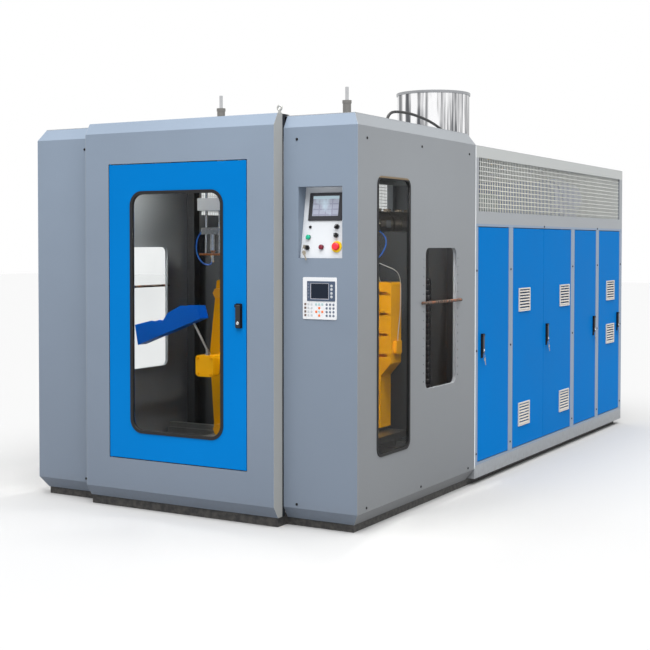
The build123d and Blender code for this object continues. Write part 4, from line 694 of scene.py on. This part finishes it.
# Working lamps: two sealed battens under the head frame's long tubes light the clamps. Their
# diffusers are moulded and their end caps snapped on.
lamp_white, tree, shader = blank("lamp_white")
shader.inputs["Base Color"].default_value = (0.9, 0.9, 0.9, 1)
glow = within(tree, Z=(1.9, 2.0515))
feed(shader.inputs["Emission Color"], mixed(tree, glow, (0, 0, 0, 1), (1.0, 0.98, 0.94, 1)))
shader.inputs["Emission Strength"].default_value = 250
head_tube = 0.06
under_head_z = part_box("base_frame")[1].z - head_tube
batten_y = front_y + 0.6
batten = squared(
    (0.05, 0.5, 0.02, -0.034), (0.058, 0.51, 0.024, -0.03), (0.058, 0.51, 0.024, -0.01),
    (0.05, 0.5, 0.02, -0.008), (0.05, 0.5, 0.02, 0),
)
lamp_x = side_x - 0.1
lamp_spots = [(side * lamp_x, batten_y, under_head_z) for side in (-1, 1)]
piece("working_lamps", set_at(batten, lamp_spots, up=(0, 1, 0)), lamp_white, "housing")


# Lamp hoods: a strip of sheet steel beside each batten, sprayed black with the head frame and
# hung from it. It keeps the lamp's light off the top of the wall.
hood = squared((0.003, 0.6, 0.001, -0.082), (0.003, 0.62, 0.001, -0.075), (0.003, 0.62, 0.001, 0))
hood_spots = [(side * (lamp_x + 0.0325), batten_y, under_head_z) for side in (-1, 1)]
piece("lamp_hoods", set_at(hood, hood_spots, up=(0, 1, 0)), frame_black, "housing")


# Console: white coated plate with chromed collars, a touch screen in a black bezel, a red
# mushroom head on a yellow disc, two lit push buttons, a key switch, a lamp and two selectors.
console_white = sprayed("console_white", (214, 217, 221), 0.35, shift=0.02, dust=0)
plate_setback, plate_length = 0.059, 0.3684
console_lean = math.asin(plate_setback / plate_length)
console_up = np.array((0, math.sin(console_lean), math.cos(console_lean)))
console_out = np.array((0, -math.cos(console_lean), math.sin(console_lean)))
plate_low, plate_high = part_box("console_plate")
console_foot = np.array(((plate_low.x + plate_high.x) / 2, front_y + 0.021, plate_low.z + 0.0005))
finish(console_white, "console_plate")
screen_black = sprayed("screen_black", (44, 44, 50), 0.3, gloss=0.4, dust=0, edge=0.2)
finish(screen_black, "touch_screen")


def on_console(across, up, out=0.0):
    """Place on the sloping plate, from its foot's middle: along the plate, up it and off it."""
    return console_foot + np.array((across, 0, 0)) + up * console_up + out * console_out


def console_skins(skin, places):
    """Copies of a skin standing on the sloping plate."""
    return set_at(skin, [on_console(*place) for place in places], up=console_up)


collar = turned(24, (0.0155, 0), (0.0155, 0.003), (0.0145, 0.0042), (0.0112, 0.0044), (0.0108, 0.0041))
start_at, key_at, stop_at, estop_at = (-0.09, 0.108), (-0.091, 0.053), (-0.007, 0.056), (0.082, 0.059)
lower_at, upper_at, lamp_at = (0.074, 0.118), (0.075, 0.163), (-0.084, 0.162)
rod_chrome = milled("rod_chrome", (212, 213, 216), 0.16, depth=0.000004, shift=0.04, film=3.0)
lock_black = sprayed("lock_black", (24, 24, 26), 0.4, gloss=0.4, dust=0, edge=0.3)
finish(lock_black, "key_switch", "selector_upper", "selector_lower")
plastics = {}
for name, owner, colour in (
    ("button_red", "estop_button", (236, 40, 58)),
    ("button_green", "start_button", (0, 168, 132)),
    ("button_dark_red", "stop_button", (116, 22, 44)),
):
    plastics[name] = sprayed(name, colour, 0.28, gloss=0.5, dust=0, edge=0.1, shift=0.03)
    finish(plastics[name], owner)
yellow_disc = sprayed("yellow_disc", (250, 214, 40), 0.4, dust=0, edge=0, shift=0.02)
disc_rows = [(0.0095, 0), (0.0295, 0), (0.0295, 0.0044), (0.029, 0.0048), (0.0095, 0.0048), (0.0095, 0)]
piece("stop_disc", console_skins(ring(disc_rows, 32), [estop_at]), yellow_disc, "housing")
collar_places = [start_at, key_at, stop_at, lower_at, upper_at]
piece("collars", console_skins(collar, collar_places), rod_chrome, "housing")
small_lamp = turned(
    20, (0.0075, 0), (0.0075, 0.0045), (0.0068, 0.0052), (0.0045, 0.0052), (0.004, 0.007), (0.0025, 0.0082)
)
piece("console_lamp", console_skins(small_lamp, [lamp_at]), lock_black, "housing")
cap_dome = turned(24, (0.0182, 0.0225), (0.0182, 0.0232), (0.016, 0.0248), (0.0115, 0.0258), (0.006, 0.0263))
piece("estop_cap", console_skins(cap_dome, [estop_at]), plastics["button_red"], "estop_button")
for name, place, top, slot in (
    ("start", start_at, 0.013, "button_green"), ("stop", stop_at, 0.014, "button_dark_red")
):
    rows = [(0.0112, top - 0.001), (0.0112, top + 0.0004), (0.0095, top + 0.0016), (0.005, top + 0.0023)]
    lens = turned(24, *rows)
    piece(f"{name}_lens", console_skins(lens, [place]), plastics[slot], f"{name}_button")
mark_white = sprayed("mark_white", (224, 226, 228), 0.4, dust=0, edge=0)
mark = squared((0.01, 0.0016, 0.0006, 0.0201), (0.01, 0.0016, 0.0006, 0.0208))
for name, place, angle in (("selector_upper", upper_at, 60), ("selector_lower", lower_at, 120)):
    level, rise = math.cos(math.radians(angle)), math.sin(math.radians(angle))
    across = np.array((level, 0, 0)) + rise * console_up
    up = np.array((-rise, 0, 0)) + level * console_up
    mark_at = on_console(*place) + 0.006 * across
    piece(f"{name}_mark", set_at(mark, [mark_at], across, up), mark_white, name)


# Switch keys: the key in its switch, and a second one on a wire ring through its bow. Both are
# stamped from nickel silver and rubbed bright.
def tube(path, radius, steps=6):
    """Round skin along a path: rings square to its direction, about a side axis held level or along X."""
    path = np.array(path, float)
    along = np.gradient(path, axis=0)
    along /= np.linalg.norm(along, axis=1, keepdims=True)
    steep = np.abs(along[:, 2:]) > 0.9
    side = np.cross(along, np.where(steep, (1.0, 0.0, 0.0), (0.0, 0.0, 1.0)))
    side /= np.linalg.norm(side, axis=1, keepdims=True)
    lift = np.cross(side, along)
    turn = np.arange(steps)[None, :, None] * 2 * math.pi / steps
    rings = path[:, None] + radius * (np.cos(turn) * side[:, None] + np.sin(turn) * lift[:, None])
    ends = np.broadcast_to(path[:, None], rings.shape)
    return np.concatenate([ends[:1], rings, ends[-1:]])


key_metal = milled("key_metal", (168, 160, 146), 0.3, film=60.0)
bow = squared(
    (0.02, 0.022, 0.007, -0.0011), (0.021, 0.023, 0.0075, -0.0007), (0.021, 0.023, 0.0075, 0.0007),
    (0.02, 0.022, 0.007, 0.0011),
)
shank = squared(
    (0.007, 0.03, 0.001, -0.0009), (0.0078, 0.03, 0.001, -0.0005), (0.0078, 0.03, 0.001, 0.0005),
    (0.007, 0.03, 0.001, 0.0009),
)
ring_turn = np.linspace(0, 2 * math.pi, 25)
ring_at = on_console(key_at[0], key_at[1] - 0.01, 0.041)
ring_side = np.array((0.25, 0, 0.97))
ring_path = [ring_at + 0.011 * (math.cos(t) * ring_side + math.sin(t) * console_out) for t in ring_turn]
hung = ring_at + np.array((0.004, -0.002, -0.022))
leaning = (0.94, 0, 0.34), (-0.34, 0, 0.94)
key_skins = set_at(bow, [on_console(*key_at, 0.036)], console_up, console_out) + set_at(bow, [hung], *leaning)
key_skins += set_at(shank, [hung + np.array((0.008, 0, -0.024))], *leaning)
piece("switch_keys", key_skins + [tube(ring_path, 0.0008)], key_metal, "key_switch")


# Touch screen: a moulded black bezel round a glass front, set into the plate from behind. Its
# lit picture is a field of plain tiles under a pale bar.
tree = screen_black.node_tree
shader = tree.nodes["Principled BSDF"]
height_of = add(tree, "VectorMath", operation="DOT_PRODUCT")
feed(height_of.inputs[0], place_on(tree))
height_of.inputs[1].default_value = console_up
up_plate = reckon(tree, "SUBTRACT", height_of.outputs["Value"], float(console_foot @ console_up))
along_plate = reckon(tree, "SUBTRACT", axes_of(tree)["X"], float(console_foot[0]))
window_low, window_high, bar_low, tile_width, tile_height = 0.2195, 0.3245, 0.309, 0.0385, 0.0285
width_mask = banded(tree, along_plate, -0.0775, 0.0775)
picture = times(tree, width_mask, banded(tree, up_plate, window_low, window_high))
bar = banded(tree, up_plate, bar_low, window_high)
tiles = 1.0
for along, size, margin in ((along_plate, tile_width, 0.08), (up_plate, tile_height, 0.12)):
    counted = times(tree, reckon(tree, "ADD", along, 1.0), 1 / size)
    tiles = times(tree, tiles, banded(tree, reckon(tree, "FRACT", counted), margin, 1 - margin))
glare = ranged(tree, cloud(tree, place_on(tree), 16.0, 2), 0, 0.7, 0.5, 0.7)
screen_field = mixed(tree, tiles, linear(132, 134, 152), linear(150, 154, 170))
screen_field = mixed(tree, glare, screen_field, linear(184, 204, 214))
screen_field = mixed(tree, bar, screen_field, linear(176, 198, 208))
overlaid(tree, picture, screen_field, 0.12)
feed(shader.inputs["Emission Color"], mixed(tree, picture, (0, 0, 0, 1), screen_field))
shader.inputs["Emission Strength"].default_value = 0.3


# Second panel: white moulded plate with a raised dark frame round its display, soft keys at
# both sides of the display and three blocks of membrane keys below.
controller_low, controller_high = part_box("controller")
panel_x = (controller_low.x + controller_high.x) / 2
panel_top_z = controller_high.z
controller_white = sprayed("controller_white", (218, 220, 223), 0.36, shift=0.02, dust=0)
recess_y, frame_y = front_y - 0.0042, front_y - 0.008
relaid(controller_white, (72, 84, 104), 0.35, Y=(frame_y, recess_y))
for half_width, top, foot, colour, roughness in (
    (0.0555, 0.0288, 0.1132, (176, 176, 186), 0.3),
    (0.0515, 0.0325, 0.1095, (16, 26, 42), 0.15),
):
    relaid(controller_white, colour, roughness, X=(panel_x - half_width, panel_x + half_width),
           Y=(recess_y, front_y), Z=(panel_top_z - foot, panel_top_z - top))
finish(controller_white, "controller")


# Membrane keys: raised pads under the panel's foil, in the colours of their groups. The two
# columns of soft keys stand on the display's frame.
foils = {}
for name, colour, shift in (
    ("key_pale", (186, 190, 194), 0.03), ("key_grey", (104, 112, 128), 0.05),
    ("key_brown", (112, 98, 94), 0.05), ("key_teal", (164, 190, 192), 0.03),
    ("key_orange", (228, 116, 66), 0.03),
):
    foils[name] = sprayed(name, colour, 0.4, dust=0, shift=shift)
key_rows = (139, 158, 177, 196)
square, tall = rounded(0.0125, 0.0125, 0.003), rounded(0.009, 0.01, 0.003)
dot, soft_dot = circle(0.0066, 12), circle(0.007, 12)
for name, places, loop, foil, out in (
    ("keys_first", [(15, row) for row in key_rows], square, "key_brown", 0),
    ("keys_left", [(x, row) for x in (34, 53) for row in key_rows], square, "key_pale", 0),
    ("keys_right", [(x, row) for x in (142, 162, 182) for row in key_rows], dot, "key_grey", 0),
    ("keys_top", [(x, 139) for x in (80, 98, 116)], square, "key_teal", 0),
    ("keys_arrow", [(98, 158), (80, 177), (116, 177), (98, 196)], square, "key_orange", 0),
    ("key_middle", [(98, 177)], square, "key_teal", 0),
    ("soft_keys_right", [(171, y) for y in (43, 61, 81, 99)], soft_dot, "key_pale", 0.002),
    ("soft_keys_left", [(34.5, y) for y in (36, 52, 68, 84, 102)], tall, "key_grey", 0.002),
):
    pad = stacked((loop, -0.0002), (loop, 0.0006), (loop * 0.82, 0.001))
    foil_y = front_y - 0.004 - out
    spots = [(panel_x - 0.1 + across / 1000, foil_y, panel_top_z - down / 1000) for across, down in places]
    piece(name, set_at(pad, spots), foils[foil], "housing")


# Operator's door: folded pan sprayed blue, a black lock plate with a swing lever and its lock
# barrel. The same blue is on the cabinet's doors, whose vents are plastic and lock plates black.
door_blue = sprayed("door_blue", (0, 112, 186), 0.42, gloss=0.04, shift=0.04, edge=0.15)
lock_front_y = -2.42
relaid(door_blue, (26, 26, 28), 0.4, Y=(lock_front_y, surround_low.y - 0.0005))
finish(door_blue, "front_door")
finish(lock_black, "door_lever")
lever_low, lever_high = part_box("door_lever")
lever_x = (lever_low.x + lever_high.x) / 2
slit = rounded(0.0062, 0.0016, 0.0006)
lock_barrel = stacked(
    (circle(0.0085), -0.001), (circle(0.0085), 0.0015), (circle(0.0078), 0.0022), (circle(0.0052), 0.0022),
    (circle(0.0048), 0.0008), (slit, 0.0008), (slit, -0.0006),
)
barrel_at = (lever_x, lever_low.y + 0.0002, lever_low.z + 0.024)
barrel = set_at(lock_barrel, [barrel_at])
piece("door_lock_barrel", barrel, rod_chrome, "door_lever")


# Gaskets and panes: black rubber profile round clear polycarbonate. Handling has left a faint
# haze on the sheet, and it mirrors little of the room.
finish(sprayed("seal_rubber", (32, 32, 33), 0.6, gloss=0.2, edge=0.15, peel=0.0001), "door_gasket")
side_seal = sprayed("side_seal", (32, 32, 33), 0.6, gloss=0.2, edge=0.15, peel=0.0001)
seal_top_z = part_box("side_gaskets")[1].z
relaid(side_seal, (126, 110, 88), 0.7, Z=(seal_top_z - 0.009, seal_top_z + 0.01))
finish(side_seal, "side_gaskets")
clear_pane, tree, shader = blank("clear_pane", gloss=0.2)
haze = cloud(tree, place_on(tree), 4.0, 6)
hazed = mixed(tree, ranged(tree, haze, 0, 1), (0.86, 0.88, 0.88, 1), (0.8, 0.82, 0.82, 1))
shaded(shader, hazed, ranged(tree, haze, 0.0, 0.03))
shader.inputs["Transmission Weight"].default_value = 1
shader.inputs["IOR"].default_value = 1.07
passing = add(tree, "BsdfTransparent")
passing.inputs["Color"].default_value = (0.92, 0.93, 0.93, 1)
rays = add(tree, "LightPath").outputs
unseen = reckon(tree, "MAXIMUM", rays["Is Shadow Ray"], rays["Is Diffuse Ray"])
chosen(tree, "Material Output", unseen, shader.outputs[0], passing.outputs[0])
finish(clear_pane, "door_pane", "side_panes")


# Loose bars: plain round steel, cut to length and stuck in the peg holes. It has rusted all over,
# mottled grey-brown with orange spots.
rusty_steel, tree, shader = blank("rusty_steel", gloss=0.15)
rust_place = place_on(tree)
scale_patches = cloud(tree, rust_place, 60.0, 8)
rust_spots = ranged(tree, cloud(tree, rust_place, 28.0, 6), 0, 1, 0.52, 0.6)
rust_tone = mixed(tree, ranged(tree, scale_patches, 0, 1, 0.4, 0.6), linear(50, 43, 40), linear(112, 96, 86))
rust_tone = mixed(tree, rust_spots, rust_tone, linear(128, 84, 64))
shaded(shader, rust_tone, ranged(tree, scale_patches, 0.7, 0.95))
raised(tree, shader, scale_patches, 0.0009)
finish(rusty_steel, "guard_bars")


# Cabinet: welded frame under a pale header, with grey sheets on roof and hidden sides. Bands of
# expanded mesh, sprayed nearly white, let the heat out, and the roofs' glands are black plastic.
cabinet_grey = sprayed("cabinet_grey", (150, 154, 158), 0.42, shift=0.05)
cabinet_top_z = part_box("cabinet_frame")[1].z
door_low, door_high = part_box("cabinet_door_1")
# Painted reflection: beside the doors the frame is tinted blue, as the blue doors reflect on it.
relaid(cabinet_grey, (128, 144, 164), 0.4, X=(0, 1.2), Z=(door_low.z - 0.004, door_high.z + 0.004))
header_foot_z = cabinet_top_z - 0.071
relaid(cabinet_grey, (178, 181, 180), 0.4, Z=(header_foot_z + 0.0005, cabinet_top_z + 0.1))
finish(cabinet_grey, "cabinet_frame")
gland_black = (26, 26, 28)
gland_x, gland_y, gland_reach, roof_z = 0.57, -0.02, 0.016, 2.0843
cabinet_roof = sprayed("cabinet_roof", (156, 159, 162), 0.42, shift=0.05)
relaid(cabinet_roof, gland_black, 0.5, X=(gland_x - gland_reach, gland_x + gland_reach),
       Y=(gland_y - gland_reach, gland_y + gland_reach), Z=(roof_z, 2.1))
finish(cabinet_roof, "cabinet_panels")
roof_coat = sprayed("roof_coat", (148, 152, 156), 0.42, shift=0.05)
relaid(roof_coat, gland_black, 0.5, Z=(2.1503, 2.2))
finish(roof_coat, "block_roof")
finish(sprayed("mesh_steel", (216, 218, 214), 0.4, gloss=0.5, dust=0, edge=0.1), "mesh_left", "mesh_right")


# Cabinet doors: folded pans sprayed blue, with moulded plastic vents and black lock plates let
# in. A stub of each key shows in its lock, and a second key hangs from it on a wire ring.
cabinet_blue = sprayed("cabinet_blue", (0, 112, 188), 0.45, gloss=0.01, shift=0.05, edge=0.15)
tree = cabinet_blue.node_tree
leaf_x = door_low.x + 0.022
proud = within(tree, X=(leaf_x + 0.0006, leaf_x + 0.05))
lever_boxes = [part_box(f"cabinet_lever_{n}") for n in (1, 2, 3, 4)]
lock_mask = 0.0
for low, high in lever_boxes:
    lock_mask = reckon(tree, "MAXIMUM", lock_mask, within(tree, Y=(low.y - 0.006, high.y + 0.006)))
plate_rows = within(tree, Z=(lever_boxes[0][0].z - 0.035, lever_boxes[0][1].z + 0.02))
lock_plates = times(tree, times(tree, lock_mask, plate_rows), proud)
overlaid(tree, proud, linear(206, 201, 193), 0.5)
overlaid(tree, lock_plates, linear(26, 26, 28), 0.4)
finish(cabinet_blue, *[f"cabinet_door_{n}" for n in ("1", "2a", "2b", "3", "4")])
finish(lock_black, *[f"cabinet_lever_{n}" for n in (1, 2, 3, 4)])
key_stub = turned(12, (0.0016, -0.006), (0.0016, 0.004), (0.0026, 0.0042), (0.0022, 0.005))
for n, owner, (low, high) in zip((1, 2, 3, 4), ("1", "2b", "3", "4"), lever_boxes):
    lock_y = (low.y + high.y) / 2
    barrel = set_at(lock_barrel, [(high.x - 0.0002, lock_y, low.z + 0.022)], (0, 1, 0))
    piece(f"cabinet_lock_barrel_{n}", barrel, rod_chrome, f"cabinet_lever_{n}")
    stub_at = np.array((high.x, lock_y, low.z - 0.0065))
    loop_middle = stub_at + (0.0026, 0.001, -0.0095)
    loop_path = [loop_middle + 0.0105 * np.array((0, math.sin(t), math.cos(t))) for t in ring_turn]
    hung_at = loop_middle + (0, 0.007, -0.0195)
    key_skins = set_at(key_stub, [stub_at], (0, 1, 0))
    key_skins += set_at(bow, [hung_at], (0, 0.36, -0.93), (0, 0.93, 0.36))
    key_skins += set_at(shank, [hung_at + (0, 0.0086, -0.0223)], (0, 0.93, 0.36), (0, -0.36, 0.93))
    key_skins += [tube(loop_path, 0.0008)]
    piece(f"cabinet_keys_{n}", key_skins, key_metal, f"cabinet_door_{owner}")


# Cabinet screws: blackened button heads in rows up the posts, which hold the sheets and the mesh
# bands to the welded frame.
post_spots = [seam_y + along for along in (0.025, 0.594, 1.839, 2.432, 3.05)]
cabinet_spots = [(side_x, y, z) for y in post_spots for z in (0.189, 0.825, 1.318)]
cabinet_spots += [(side_x, seam_y + along, 1.602) for along in (1.222, 2.425)]
cabinet_screws = set_at(button_screw, cabinet_spots, (0, 1, 0))
piece("cabinet_screws", cabinet_screws, black_oxide, "housing")


# Hydraulic hose over the roofs: black rubber on a wire braid, laid in a flat arc between its two
# glands, which clamp it.
hose_black = sprayed("hose_black", (24, 24, 25), 0.45, gloss=0.4, dust=0, edge=0, peel=0.00003)
roof_arc = [
    (-0.96, 2.16), (-0.96, 2.232), (-0.914, 2.288), (-0.82, 2.307), (-0.6, 2.312), (-0.34, 2.29),
    (-0.16, 2.254), (-0.066, 2.218), (-0.02, 2.162), (-0.02, 2.09),
]
roof_line = [(gland_x, y, z) for y, z in roof_arc]
roof_hose = hose("roof_hose_line", roof_line, 0.018, hose_black, "housing")
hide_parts("roof_hose")
finish(hose_black, "roof_hose")


# Energy chain: black plastic links that stand on the rear rail beam, under a conduit from the
# head frame's hanger bar, with a blue air line beside them.
chain_link = squared(
    (0.044, 0.024, 0.004, 0), (0.048, 0.028, 0.005, 0.003), (0.048, 0.028, 0.005, 0.025),
    (0.044, 0.024, 0.004, 0.028), (0.036, 0.018, 0.003, 0.029), (0.036, 0.018, 0.003, 0.034),
)
chain_x, chain_y, chain_foot_z, link_pitch = 0.905, -1.0855, 0.2555, 0.033
link_spots = [(chain_x, chain_y, chain_foot_z + link_pitch * n) for n in range(31)]
links = set_at(chain_link, link_spots, up=(0, 1, 0))
energy_chain = piece("energy_chain", links, lock_black, "housing")
conduit_run = [
    (0, -0.03, under_head_z), (0, -0.03, 1.8), (0.012, -0.012, 1.55), (0, 0, 1.4), (0, 0, 0.8),
    (0, 0, chain_foot_z),
]
conduit = np.array(conduit_run) + (chain_x, chain_y, 0)
hose("chain_conduit", conduit, 0.018, hose_black, "housing")
air_run = [
    (0, -0.03, under_head_z), (-0.006, -0.03, 1.8), (0.002, -0.014, 1.45), (-0.004, -0.01, 1.1),
    (0.002, -0.006, 0.7), (0, 0, 0.4), (0, 0, chain_foot_z),
]
air_line = np.array(air_run) + (chain_x - 0.034, chain_y, 0)
hose("chain_air_line", air_line, 0.006, hose_blue, "housing")
